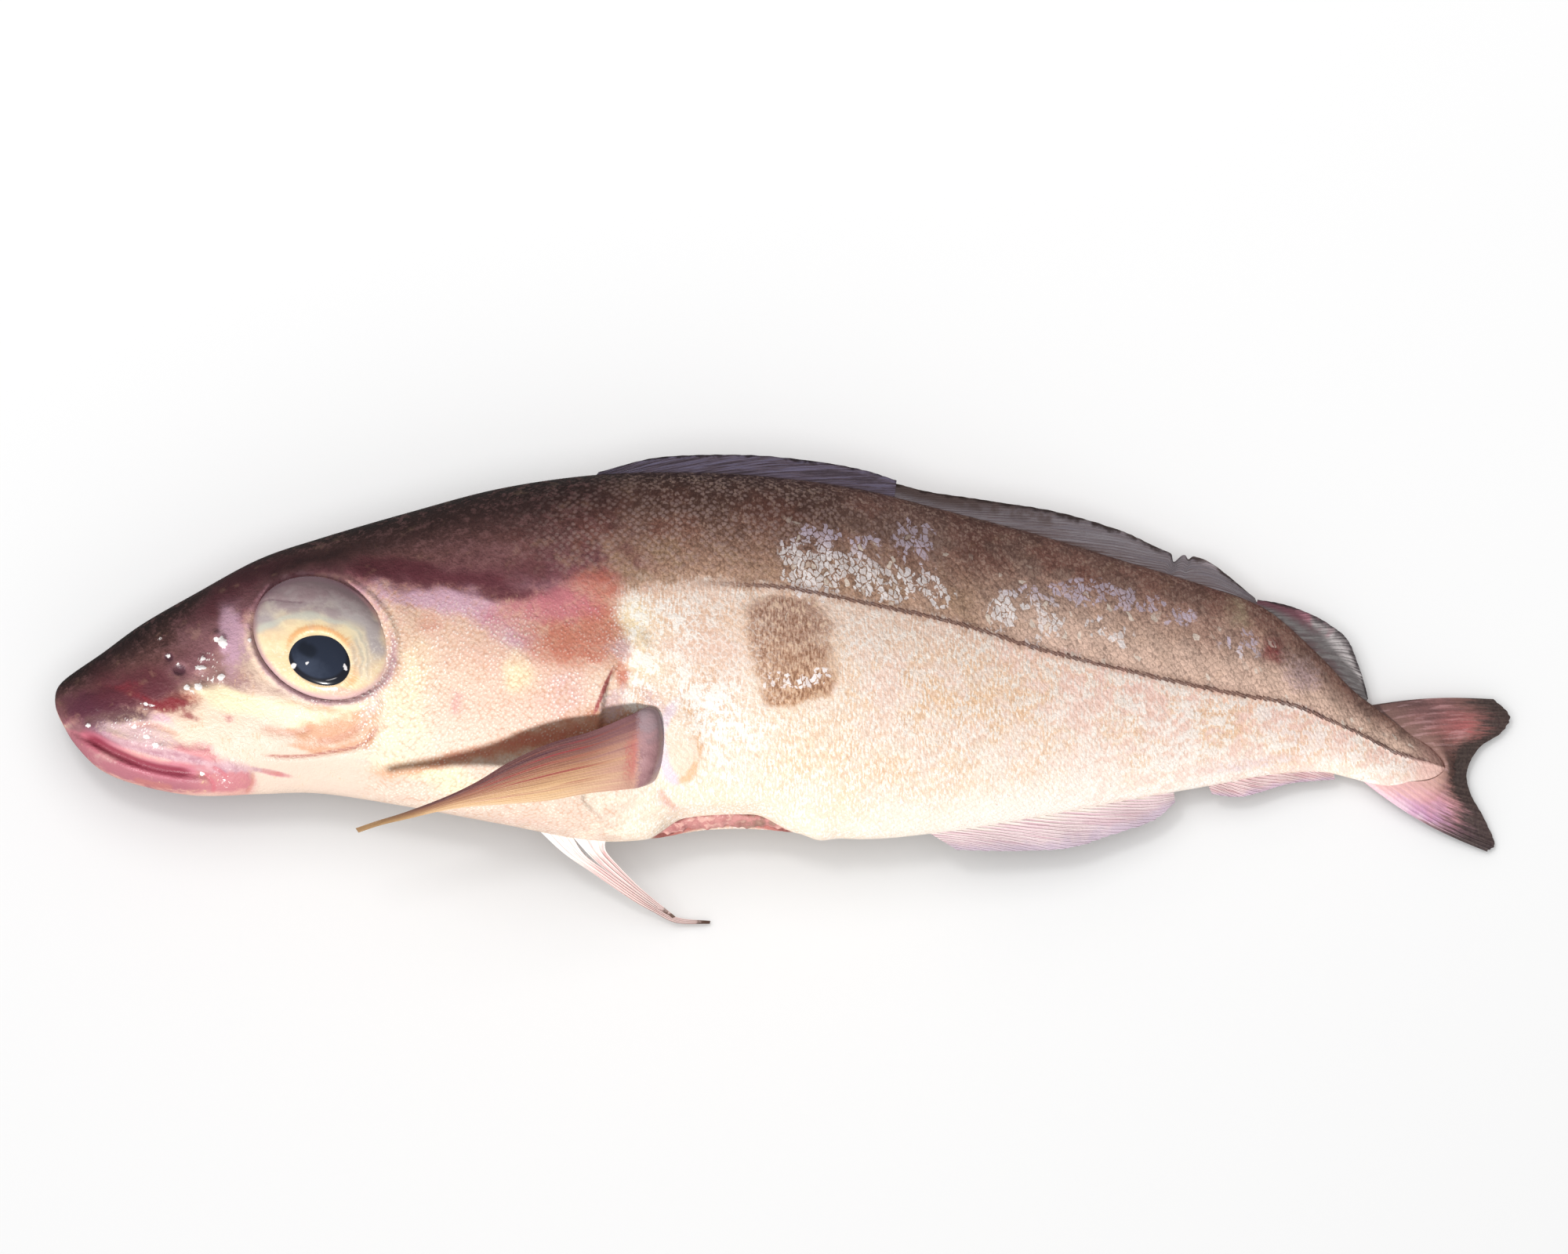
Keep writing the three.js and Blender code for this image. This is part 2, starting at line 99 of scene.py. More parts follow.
MUSCLE_PITCH = 9.5

# Folds of the skin: the line, half its width, and its depth or height.
FOLDS = {
    "below the eye": (
        [(53.5, -16.4), (61.1, -17.5), (70, -17.4), (78, -16), (85.1, -14.4), (89, -10.5), (92.4, -4.5)],
        0.8, -1.0,
    ),
    "cheek": ([(56, -8.8), (64.9, -11), (74.3, -9.4)], 1.6, -0.5),
    "second cheek": ([(70, -13.6), (78, -12.8), (84.5, -9.5), (88, -5)], 1.5, -0.5),
    "lip lobe": ([(40.5, -21.8), (43, -23.6), (44.2, -26), (43, -28.4)], 0.75, -1.0),
    "top of the flap": ([(43.4, -20.2), (46.4, -21.8), (48.6, -24.4)], 0.7, -0.6),
    "end of the flap": ([(55, -21.2), (54.7, -25), (52, -28.9)], 0.8, -1.2),
    "second lip": ([(20, -23.6), (28, -25.6), (34, -26.4)], 1.3, -0.5),
    "throat": ([(56.6, -21.2), (60, -21.8), (64, -22.9)], 0.8, -0.35),
    "behind the pad": ([(166, -25), (168, -29), (172, -33)], 1.3, -0.6),
    "snout": ([(6, -2), (13, 1.2), (21, 1.6)], 1.2, -0.25),
    "above the lip": ([(20, -9.5), (28, -9.2), (37, -12.4)], 1.2, -0.4),
}
# Beads and dents of the wet skin: x, y, half lengths along and across, and height.
BUMPS = [
    (47.2, 13.8, 1.2, 1.7, 1.7), (45.2, 15.8, 1.1, 1, 1.2), (41.5, 9.1, 1, 1, 1.1),
    (41.3, 6.4, 1.7, 1, 1.2), (46.8, 4, 1.2, 1.2, 1.2), (38, 0.9, 1.1, 0.9, 1), (41.3, 1.2, 1.5, 1.2, 1.2),
    (29.5, 15.6, 0.9, 1.1, 0.9), (30.8, 11.6, 1, 1.5, 1.1), (40.1, -19.6, 1, 0.9, 0.6),
    (44, -18.9, 0.8, 0.9, 0.6), (48.7, -27, 1, 0.9, 0.6), (43, -27.4, 0.9, 0.8, 0.5),
    (26.6, -12.7, 1, 0.8, 0.5), (30.2, -15, 1, 0.8, 0.5), (9.7, -9.2, 0.8, 0.8, 0.4), (50, 8, 4.5, 7, 0.6),
    (43, 8, 5, 5, -0.5), (32.6, 9.2, 1.4, 1.3, -1), (35.4, 6, 2.2, 1.7, -1.3), (33.8, 8, 4.4, 4.6, 0.8),
    (158, -22, 3, 4, 0.5), (20, -20.8, 7, 2, 0.5), (36.5, -25.2, 6, 2.2, 1.3), (49.4, -25.2, 4, 3, 1.4),
    (49, -20.6, 4, 2, 0.6), (87.5, -6.2, 1.6, 1.4, 0.9), (89.8, -3.4, 1.2, 1.4, 0.8), (86, -2, 3, 4, 0.4),
    (155.6, 12.6, 3.2, 4, 0.9),
]
# The pad of skin behind the side fin.
PAD_AT, PAD_RADII, PAD_HEIGHT = (172.2, -13.8), (6.6, 11.5), 1.0
LINE_STEPS = 16  # pieces that a line drawn on the skin is measured in


def curve(points, shares):
    """Points of the smooth line through the given points, at shares of the way along it."""
    knots = np.asarray(points, float)
    knots = np.vstack([2 * knots[0] - knots[1], knots, 2 * knots[-1] - knots[-2]])
    spans = len(knots) - 3
    place = np.clip(np.asarray(shares, float) * spans, 0, spans - 1e-9)
    first = place.astype(int)
    w = (place - first)[..., None]
    a, b, c, d = (knots[first + i] for i in range(4))
    return 0.5 * (2 * b + (c - a) * w + (2 * a - 5 * b + 4 * c - d) * w**2 + (3 * b - a - 3 * c + d) * w**3)


def smooth(value, low, high):
    """0 below low, 1 above high and smooth between."""
    share = np.clip((value - low) / (high - low), 0, 1)
    return share * share * (3 - 2 * share)


def hump(distance, half):
    """1 at no distance, and a third of that at half a width."""
    return np.exp(-((distance / half) ** 2))


def within(value, low, high, soft):
    """1 between low and high, 0 outside, with soft edges."""
    return smooth(value, low - soft, low + soft) * (1 - smooth(value, high - soft, high + soft))


def level(points, x):
    """The height at x of a line drawn along the fish."""
    line = curve(points, np.linspace(0, 1, 400))
    return np.interp(x, line[:, 0], line[:, 1])


def frame_at(x):
    """The heights of back and belly at x, half the width, and the height of the mid-plane."""
    line = curve(FRAMES, np.linspace(0, 1, 4001))
    return [np.interp(x, line[:, 0], line[:, column]) for column in (1, 2, 3, 4)]


def near(x, y, points, half):
    """1 on a line drawn on the skin and 0 away from it, fading towards the line's ends."""
    line = curve(points, np.linspace(0, 1, LINE_STEPS + 1))
    nearest = np.full(np.shape(x), 1e9)
    fade = np.zeros(np.shape(x))
    for i, ((ax, ay), (bx, by)) in enumerate(zip(line, line[1:])):
        along = np.clip(
            ((x - ax) * (bx - ax) + (y - ay) * (by - ay)) / ((bx - ax) ** 2 + (by - ay) ** 2), 0, 1,
        )
        distance = np.hypot(x - ax - along * (bx - ax), y - ay - along * (by - ay))
        share = (i + along) / LINE_STEPS
        fade = np.where(distance < nearest, smooth(np.minimum(share, 1 - share), 0, 0.22), fade)
        nearest = np.minimum(nearest, distance)
    return hump(nearest, half) * fade


def oval(x, y, centre, radii, turn=0.0):
    """How far out of an oval a place is, 1 on its edge."""
    dx, dy = x - centre[0], y - centre[1]
    return np.hypot(
        (dx * cos(turn) + dy * sin(turn)) / radii[0], (dy * cos(turn) - dx * sin(turn)) / radii[1],
    )


def gill_edge(y):
    """Where the gill cover ends at a height."""
    lobe = GILL_LOBE["reach"] * hump(y - GILL_LOBE["y"], GILL_LOBE["half"])
    return GILL_EDGE_X + lobe - GILL_SWEEP * np.maximum(8 - y, 0) ** 2


def relief(x, y, side):
    """How far the skin stands out of the plain section."""
    soft = 0.9 + 3.2 * smooth(y, 4, 12)
    cover = GILL_STEP * smooth(x, 92, 142) * (1 - smooth(x, GILL_EDGE_X - soft, GILL_EDGE_X + soft))
    gill = cover * within(y, -34, 15, 8)
    over_lip, over_mouth = y - level(UPPER_LIP, x), y - level(MOUTH_LINE, x)
    lips = hump(over_lip - 1.6, 1.7) - 0.5 * hump(over_lip + 0.2, 0.6)
    lips += hump(over_mouth + 3.6, 2) - MOUTH_DEPTH * hump(over_mouth, 1.5)
    mouth = lips * within(x, 3, 42.5, 2.5)
    flap = -1.6 * smooth(x, 54.5, 57) * (1 - smooth(x, 70, 95)) * (1 - smooth(y, -23.5, -18))
    brow = BROW_HEIGHT * hump(oval(x, y, EYE_AT, BROW_RADII) - 1, 0.16)
    out = oval(x, y, EYE_AT, EYE_RADII, EYE_TURN)
    socket = -SOCKET_DEPTH * (1 - smooth(out, 0.8, 0.97)) - hump(out - 1, 0.045)
    way = np.arctan2(y - EYE_AT[1], x - EYE_AT[0])
    lid = 1 + 0.25 * np.sin(way * 33) * np.sin(way * 21 + 1)
    socket += lid * hump(out - 1.1, 0.055)
    pad = PAD_HEIGHT * (1 - smooth(oval(x, y, PAD_AT, PAD_RADII), 0.45, 1.25)) * (side > 0)
    folds = sum(depth * near(x, y, line, half) for line, half, depth in FOLDS.values())
    bumps = sum(h * np.exp(-(((x - cx) / rx) ** 2) - ((y - cy) / ry) ** 2) for cx, cy, rx, ry, h in BUMPS)
    off_line = y - level(SHADE_LINE, x)
    muscles = 0.16 * np.sin((x + 0.55 * np.abs(off_line)) * tau / MUSCLE_PITCH) * smooth(x, 175, 215)
    ridge = 0.28 * hump(off_line, 0.8) * smooth(x, 160, 195)
    return gill + mouth + flap + brow + socket + pad + folds + bumps + muscles + ridge


def skin_place(x, angle, side):
    """A place on the skin, at x along the fish and an angle round its section from the back, on a flank."""
    back, belly, half, middle = frame_at(x)
    up, out = np.cos(angle), np.sin(angle)
    widest = belly + WIDEST_AT * (back - belly)
    y = widest + up * np.where(up > 0, back - widest, widest - belly)
    below = smooth(-up, 0.8, 1)
    open_by = np.sin(pi * np.clip((x - SLIT["from"]) / (SLIT["to"] - SLIT["from"]), 0, 1)) ** 1.2
    pocket = SLIT["depth"] * hump(out * half, 0.4 + 2.2 * open_by) * (up < 0) * smooth(open_by, 0.1, 0.7)
    lift = np.where(side > 0, SLIT["lift"] * below * within(x, 168, 198, 6), 0)
    y = y - VENT["height"] * below * hump(x - VENT["x"], VENT["half"]) + pocket + lift
    by_gill = within(y, -33, 40, 6)
    swept = gill_edge(y) - GILL_EDGE_X
    x = x + swept * hump(x - GILL_EDGE_X, 16) * by_gill
    local = x - swept * by_gill * hump(x - gill_edge(y), 9)
    raised = relief(np.where(np.abs(x - gill_edge(y)) < 14, local, x), y, side) * smooth(half, 0, 5)
    z = middle + side * out * (np.where(side > 0, half, half * LOWER_SHARE) + raised)
    return x, y, np.maximum(z, 0)


def shown(bm, name, slot, *nodes):
    """Makes an object of a finished bmesh, riding on the fish in place of its solids."""
    mesh = bpy.data.meshes.new(name)
    bm.to_mesh(mesh)
    bm.free()
    mesh.shade_smooth()
    piece = bpy.data.objects.new(name, mesh)
    bpy.context.scene.collection.objects.link(piece)
    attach(piece, "root")
    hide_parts(*nodes)
    return piece


def lay(mesh, x, y, z):
    """Moves a mesh's vertices to places on the fish, and turns its faces outwards."""
    places = np.stack([x - ORIGIN[0], y - ORIGIN[1], z], 1) / 1000
    mesh.vertices.foreach_set("co", places.astype(np.float32).ravel())
    bm = bmesh.new()
    bm.from_mesh(mesh)
    bmesh.ops.recalc_face_normals(bm, faces=bm.faces[:])
    if bm.calc_volume(signed=True) < 0:
        bmesh.ops.reverse_faces(bm, faces=bm.faces[:])
    bm.to_mesh(mesh)
    bm.free()
    mesh.update()


def corners(mesh):
    """The x, y and z of a mesh's vertices."""
    found = np.empty(len(mesh.vertices) * 3, np.float32)
    mesh.vertices.foreach_get("co", found)
    return found.reshape(-1, 3).astype(float).T


def record(mesh, **fields):
    """Keeps numbers on a mesh's vertices for its material to read."""
    for name, values in fields.items():
        vector = np.ndim(values) == 2
        layer = mesh.attributes.new(name, "FLOAT_VECTOR" if vector else "FLOAT", "POINT")
        layer.data.foreach_set("vector" if vector else "value", np.asarray(values, np.float32).ravel())


rings = np.concatenate([[FRAMES[0][0]]] + [
    np.linspace(start, to, count + 1)[1:]
    for start, (to, count) in zip([FRAMES[0][0]] + [to for to, _ in RINGS], RINGS)
])
around = UPPER_STEPS + LOWER_STEPS
bm = bmesh.new()
bmesh.ops.create_uvsphere(bm, u_segments=around, v_segments=len(rings) - 1, radius=1)
skin = shown(bm, "skin_of_body", "skin", "body")
ball = corners(skin.data)
ring = np.rint(np.arccos(np.clip(ball[2], -1, 1)) / pi * (len(rings) - 1)).astype(int)
step = np.rint(np.arctan2(ball[1], ball[0]) / tau * around).astype(int) % around
side = np.where(step <= UPPER_STEPS, 1, -1)
angle = pi * np.where(side > 0, step / UPPER_STEPS, (around - step) / LOWER_STEPS)
x, y, z = skin_place(rings[ring], angle, side)
lay(skin.data, x, y, z)

back, belly, _, _ = frame_at(x)
dark_edge = np.clip(level(SHADE_LINE, x), belly + 0.5, back - 0.5)
over_edge = y - dark_edge
height = np.where(y > dark_edge, over_edge / (back - dark_edge + 1e-6), over_edge / (dark_edge - belly))
stations = np.arange(0, FISH_LENGTH, 2.0)
slope = np.gradient(level(SHADE_LINE, stations), 2.0)
off_line = (y - level(SHADE_LINE, x)) * np.cos(np.arctan(np.interp(x, stations, slope)))

# The soft washes of colour over the skin's own, some of them painted shadow and painted sheen: ovals of x, y,
# half lengths, turn in degrees and strength.
WASHES = {
    "dusk": [
        (44.5, 10, 6, 8, 20, 1), (38, 5, 4.5, 3.5, -20, 0.8), (47, 6, 4.6, 4.6, 0, 1),
        (55, 29, 7, 3, 40, 0.6), (50, 3.5, 6, 2, -20, 0.6), (100, 29, 14, 1.8, -4, 0.5),
        (130, 29.5, 12, 2, 0, 0.5), (24, -4, 8, 1.6, -10, 0.5), (41, 16, 7, 5, 30, 0.7),
        (50, 23, 7, 5, 40, 0.6), (54, 6, 2, 8, 20, 0.4), (66, -0.5, 14, 1.6, -20, 0.5),
        (44, 26, 8, 3, 35, 0.4), (120, 38, 26, 5, -4, 0.35),
    ],
    "bleed": [
        (31.5, -4.6, 4.6, 1.8, -20, 1), (34.5, -3, 3, 1.7, -20, 1), (37.7, -7.4, 1.4, 1, 0, 1),
        (27, -1.4, 6, 1.3, -12, 0.6), (20, 2, 6, 1.4, 0, 0.4), (336, 11, 3.6, 3, 0, 0.7),
        (49.5, -7.6, 2.4, 1.5, -30, 0.4), (124, 31, 3.4, 1.4, 0, 0.25),
    ],
    "flush": [
        (122, 13, 13, 9, 0, 0.9), (141, 1, 9, 11, 0, 0.9), (105, 20, 9, 6, 0, 0.6),
        (128, -5, 14, 8, 0, 0.5), (112, -6, 10, 8, 0, 0.3), (176, 16, 16, 10, 0, 0.6),
        (345, -12, 20, 7, -20, 0.12), (47, 6, 4, 4, 0, 0.25), (97, -20, 10, 3, -20, 0.25),
        (99, 12, 7, 6, 0, 0.6), (46, -7, 6, 3, 0, 0.3),
    ],
    "mauve": [
        (9, -8.6, 6, 1.8, -24, 0.9), (10, -5, 9, 4.5, -20, 1), (18, -5.6, 9, 3, -14, 0.95),
        (33, 9, 6, 4, 0, 0.3), (14, -1, 9, 4, 10, 0.5),
    ],
    "lilac": [
        (24, -12, 9, 2.2, -18, 0.6), (100, 26, 11, 2.4, -8, 1), (118, 21.5, 7, 4.5, -30, 0.9),
        (129, 14, 4, 3, -20, 0.8), (50.5, 14.5, 3.4, 7.5, 5, 1), (50, 20, 3, 4, 30, 0.8),
        (13, -12.4, 6, 1.8, -26, 0.9), (88, 22, 3, 5, 30, 0.6), (141, 0, 8, 8, 0, 0.35),
        (31, -8.6, 5, 2, -10, 0.7), (156, 13, 3, 4, 0, 0.7), (330, -20, 18, 3, 8, 0.4),
        (110, 26.5, 8, 2.5, -10, 0.8), (134, 30, 8, 3, 0, 0.3),
    ],
    "gold": [
        (50, -1.8, 12, 3, -16, 1), (62, -5.5, 13, 3, -10, 0.6), (80, -6.5, 8, 3, 14, 0.8),
        (100, 9, 6, 6, 0, 0.5), (128.6, 5, 3.4, 6, 8, 0.9), (97, -3, 6, 11, 0, 0.5),
        (159, 19, 6, 6, -20, 0.9), (92, -14, 12, 7, 0, 0.3), (165, 8, 9, 8, 0, 0.5),
        (180, 20, 12, 8, 0, 0.25), (105, -23, 14, 3, -12, 0.7), (128, -14, 16, 5, -14, 0.15),
        (325, 22, 4, 6, 20, 0.4),
    ],
    "peach": [
        (145, 13, 11, 6, 0, 0.85), (149, 20, 5, 7, 0, 0.8), (104, 18.4, 6, 3.4, -4, 0.45),
        (155.8, 4, 2, 4, -10, 0.9), (36.5, -1, 3.6, 2.4, -20, 0.9), (138, 16, 8, 6, 0, 0.5),
        (186, 12, 4, 4, 0, 0.3), (94, 9, 2, 8, 0, 0.4), (149, 29, 8, 5, 0, 0.6),
        # The three ovals on the next line lie in the side fin's cast shadow on the cheek and warm it: painted
        # shadow.
        (152, -7.5, 9, 2.6, 14, 0.5), (133, -12.4, 14, 2.6, 16, 0.7), (113, -18, 12, 2.4, 14, 0.5),
    ],
    "fawn": [
        (66, -10.6, 7, 1.3, -6, 0.45), (76, -10.4, 8, 2.6, 6, 1), (150, 23, 4.5, 6, 0, 0.7),
        (84, -7.6, 4, 1.3, 40, 0.8), (72, -14.4, 8, 1.3, 0, 0.7), (82, -13, 5, 1.2, 20, 0.6),
        # The last oval on the next line and the three after it warm the side fin's cast shadow on the cheek:
        # painted shadow.
        (74, -5, 12, 1.2, -8, 0.5), (88.6, -10, 2, 5, -24, 0.6), (152, -7.5, 11, 3, 14, 0.9),
        (133, -12.2, 15, 3, 16, 0.9), (112, -18, 14, 2.8, 14, 0.9), (97, -21.6, 8, 2, 10, 0.7),
        (163, -1, 6, 2.5, -10, 0.5), (180, 2, 9, 9, 0, 0.45),
    ],
    "rose": [
        (138, 23.5, 9, 5, 0, 1), (146, 24, 6, 5, 0, 0.5), (169, -30, 6, 4, -50, 0.35),
        (128, -36, 20, 3, -8, 0.25), (112, -3.5, 2.2, 3.2, 0, 0.5), (49.5, -7.6, 3, 2, -30, 0.45),
        (40, -16.6, 8, 2.4, -12, 0.9), (28, -16.8, 16, 1.8, -17, 0.5), (40, -19.6, 7, 1.8, -10, 0.8),
        (122, 20, 8, 5, 0, 0.5), (345, -12, 26, 5, -22, 0.25), (86, -20, 5, 1.4, -20, 0.3),
    ],
    "wine": [
        (22, 0, 10, 4.2, 8, 0.8), (20, 3.4, 7, 3, 10, 0.7), (30, 2, 8, 4, -10, 0.9),
        (31, -3, 7, 2.6, -8, 0.8), (48, 27, 13, 4, 33, 0.9), (104, 31.4, 20, 2.2, -6, 1),
        (124, 28, 10, 2, -8, 0.7), (90, 34, 8, 3.6, -6, 0.7), (62, 34, 12, 3.4, 20, 0.6),
        (134, 32.5, 12, 3.4, 0, 0.45), (12, 6, 6, 3, 30, 0.3),
    ],
    "ink": [(74, 36.5, 20, 3, 14, 0.8), (18, 11, 14, 4, 36, 0.5)],
    # A pearly pale band on the upper lip and film by the side fin, and beside the eye painted sheen where the
    # wet skin shines.
    "pearl": [
        (22, -11.8, 9, 1.6, -13, 1), (28, -12, 7, 2.4, -14, 1), (46, -15.5, 9, 2, -12, 0.4),
        (87.5, -6, 3.4, 2.6, 40, 0.6), (91.6, 5, 1.6, 11, -14, 0.7), (344, 4, 5, 5, 0, 0.8),
        (164, 10, 4.5, 3.5, 0, 0.5), (154, -3, 3, 5, -30, 0.9), (340, 9, 5, 3, -40, 0.4),
        (166, -2.8, 5, 2.4, -24, 1), (155.4, 12.6, 3.6, 3, 0, 0.9),
    ],
    "tan": [
        (250, -3, 50, 12, -10, 1), (212, -22, 24, 10, 0, 0.5), (315, -10, 52, 10, -10, 0.95),
        (240, -22, 44, 8, 2, 0.5), (196, -14, 10, 10, 0, 0.25), (176, 16, 14, 9, 0, 0.9),
    ],
    "olive": [
        (190, 33, 30, 5, 0, 1), (236, 27, 20, 6.4, -16, 0.7), (170, 36, 16, 5, 0, 0.7),
        (290, 18, 30, 5, -13, 0.25),
    ],
    "redder": [
        (232, 44, 22, 6.4, -14, 0.7), (276, 34, 24, 5, -16, 1), (160, 44, 24, 8, 4, 0.6),
        (204, 50, 18, 6, 0, 0.5), (325, 24, 10, 4, -24, 0.7), (144, 39, 12, 7, 0, 0.5),
        (318, 15, 10, 5, -14, 0.4),
    ],
    "lattice": [
        (176, 50, 28, 8, 0, 1), (168, 40, 22, 8, 0, 0.8), (198, 47, 18, 9, 0, 0.9),
        (226, 44, 22, 8, -14, 0.7), (146, 42, 14, 8, 0, 0.45),
    ],
    # Where painted sparks and flakes of painted sheen lie, as on wet slime that shines.
    "sparkle": [
        (90.5, 4, 2.6, 11, -14, 1), (88, -6, 4, 3.4, 40, 1), (80, -1.6, 10, 1.6, 12, 0.7),
        (24, -11.4, 10, 2.4, -24, 0.7), (44, 5, 6, 6, 0, 0.5), (100, 4, 10, 14, 0, 0.45),
        (120, 14, 16, 12, 0, 0.35), (142, 22, 10, 7, 0, 0.3), (142, 0, 9, 9, 0, 0.55),
        (158, 19, 7, 9, 0, 0.8), (160, -1, 5, 3, 20, 0.8), (88, -13, 5, 3, 30, 0.6),
        (168, 10, 8, 7, 0, 0.5), (46, -24, 5, 4, 0, 0.5), (182, -6, 14, 9, -30, 1),
        (170, 20, 12, 6, 0, 0.7), (163, 4, 6, 5, -20, 1),
    ],
    "rims": [
        (175, 19, 12, 8, 0, 0.8), (185, 8, 11, 11, 0, 0.6), (222, 16, 10, 7, 0, 0.7),
        (178, -8, 14, 10, 0, 0.5),
    ],
}
# The marks with a clear edge, given in the same way. The glints among them are painted highlights.
MARKS = {
    "jaw": [
        (26, -23.5, 30, 5.5, -6, 1), (8, -13, 8, 6, -45, 0.9), (49, -24, 7, 6, 0, 1),
        (60, -22, 7, 1, -12, 0.8), (28, -16, 24, 1.8, -13, 0.9),
    ],
    "blood": [
        (151.2, 0, 0.75, 8, -22, 1), (108.8, 8.2, 1.2, 0.9, 0, 0.5), (86.5, -15.2, 1.4, 0.8, 0, 0.5),
        (42, -15.6, 3, 0.8, -10, 0.4),
    ],
    # Painted highlights: white glints of light on the wet slime of snout, lips and eye rim.
    "glint": [
        (47.2, 13.6, 1.5, 1.9, 20, 1), (45.3, 14.4, 0.8, 0.8, 0, 0.8), (41.3, 6.7, 2.3, 0.75, -4, 0.9),
        (41.7, 9.3, 0.8, 0.7, 0, 0.9), (46.8, 4.1, 1.3, 1, 40, 1), (44.3, 3.1, 0.9, 0.6, 0, 0.7),
        (37.4, 1.3, 1.2, 0.8, 0, 0.9), (40.6, 1.5, 1.6, 1, 0, 1), (38.9, 0.1, 0.8, 0.6, 0, 0.6),
        (32, 9.9, 0.9, 0.8, 0, 0.6), (34.8, 7.7, 0.9, 0.7, 0, 0.6), (29.5, 14.5, 0.9, 0.7, 40, 0.6),
        (26.4, -3.4, 3, 0.6, -12, 0.6), (25.4, -4.6, 2.4, 0.5, -12, 0.5), (22.6, -9.5, 1.2, 0.8, 0, 0.8),
        (26, -12.2, 1.3, 0.8, 0, 0.9), (28.5, -14.4, 1.2, 0.8, 0, 0.8), (9.7, -9.2, 0.9, 0.7, 0, 0.8),
        (54.7, 14.2, 0.7, 0.7, 0, 0.8), (90.9, 17.8, 0.5, 0.9, 0, 0.6), (92.2, 15.4, 0.5, 0.8, 0, 0.7),
        (91.9, 9.2, 0.5, 1.1, 0, 0.8), (91, 5, 0.6, 0.9, -20, 0.8), (88.8, 2, 0.9, 0.6, 40, 0.7),
        (83.4, -0.6, 0.9, 0.5, 14, 0.6), (46.6, -24.6, 1.6, 0.8, 40, 0.5), (41.2, -22.4, 1, 0.8, 0, 0.6),
        (62, -11.6, 2, 0.5, -10, 0.4), (166, -4.6, 1.2, 0.8, 0, 0.5),
    ],
    "nostril": [(35.2, 6, 2.5, 1.9, -20, 1), (32.2, 9.6, 1.6, 1.5, 0, 0.9), (29.6, 14.4, 1.1, 1, 0, 0.6)],
    "cream": [(172.2, -13.8, 5.8, 11, 0, 1)],
    "thumbprint": [
        (201.6, 18, 14, 10, -4, 1), (202.6, 8, 12.4, 9, 0, 1), (200.6, 0.8, 9, 6, 0, 1),
        (209, 2.6, 6.4, 5.4, 0, 0.9),
    ],
    "flecks": [
        (206, 33, 6.4, 8.5, 16, 1), (204, 38.4, 5, 5, 0, 0.9), (213, 33.4, 6.2, 9.4, 0, 1),
        (210, 42, 6, 5, 0, 0.8), (223, 31.5, 5, 8, 14, 1), (231, 29.6, 4.6, 5.6, 30, 0.85),
        (238.6, 29.4, 5, 7, 30, 0.95), (236, 42, 6, 7, -10, 0.65), (243.5, 26.8, 3.8, 3.8, 0, 0.7),
        (222, 40.4, 5, 5, 0, 0.6), (262, 23, 5, 5.6, -20, 0.85), (270.6, 25.6, 7, 4.4, 0, 0.85),
        (274, 20, 4.6, 5, 0, 0.75), (283, 27.4, 9.4, 3.8, 4, 1), (294, 25.6, 8, 3.6, 0, 0.75),
        (258, 19.6, 4.4, 3.8, 0, 0.55), (268, 14, 3, 2.8, 0, 0.65), (286, 18, 3.4, 3.4, 0, 0.55),
        (306, 22, 9, 4, -14, 0.45), (292, 15, 6, 4, -14, 0.4), (326, 13, 8, 6, -20, 0.3),
        (198, 2.6, 5, 2.8, 16, 0.85), (207.5, 3.4, 6, 2.8, 20, 0.85),
    ],
}
WANDER_PERIODS = (19, 11, 6.5, 4)
WANDER_SHARE = 0.05  # of each period
LOWER_FLANK_OFF = 200  # so that the scales of one flank aren't those of the other


def wander(x, y, seed):
    """How far the edge of a wash wanders at a place, in mm."""
    random = np.random.default_rng(seed)
    far = np.zeros(len(x))
    for period in WANDER_PERIODS:
        way, start = random.random(2) * tau
        far += WANDER_SHARE * period * np.sin((x * cos(way) + y * sin(way)) * tau / period + start)
    return far


def stain(x, y, spots, soft=False):
    """How strongly a set of ovals colours each place."""
    if soft:
        x, y = x + wander(x, y, 1), y + wander(x, y, 2)
    clear = np.ones(len(x))
    for cx, cy, along, across, turn, strength in spots:
        out = oval(x, y, (cx, cy), (along, across), radians(turn))
        clear *= 1 - strength * (np.exp(-0.8 * out**2) if soft else 1 - smooth(out, 0.4, 1.3))
    return 1 - clear


order = np.lexsort((step, ring))
by_ring = np.full((len(rings), around), -1)
by_ring[ring[order], step[order]] = order
by_ring[0], by_ring[-1] = by_ring[0].max(), by_ring[-1].max()
girths = np.hypot(*(np.diff(np.stack([y, z])[:, by_ring], axis=2, append=0)))
upper_arc = np.cumsum(np.pad(girths, ((0, 0), (1, 0)))[:, :around], axis=1)
lower_arc = upper_arc[:, UPPER_STEPS:UPPER_STEPS + 1] * 2 - upper_arc
arc = np.where(side > 0, upper_arc[ring, step], np.maximum(lower_arc[ring, step], 0) + LOWER_FLANK_OFF)

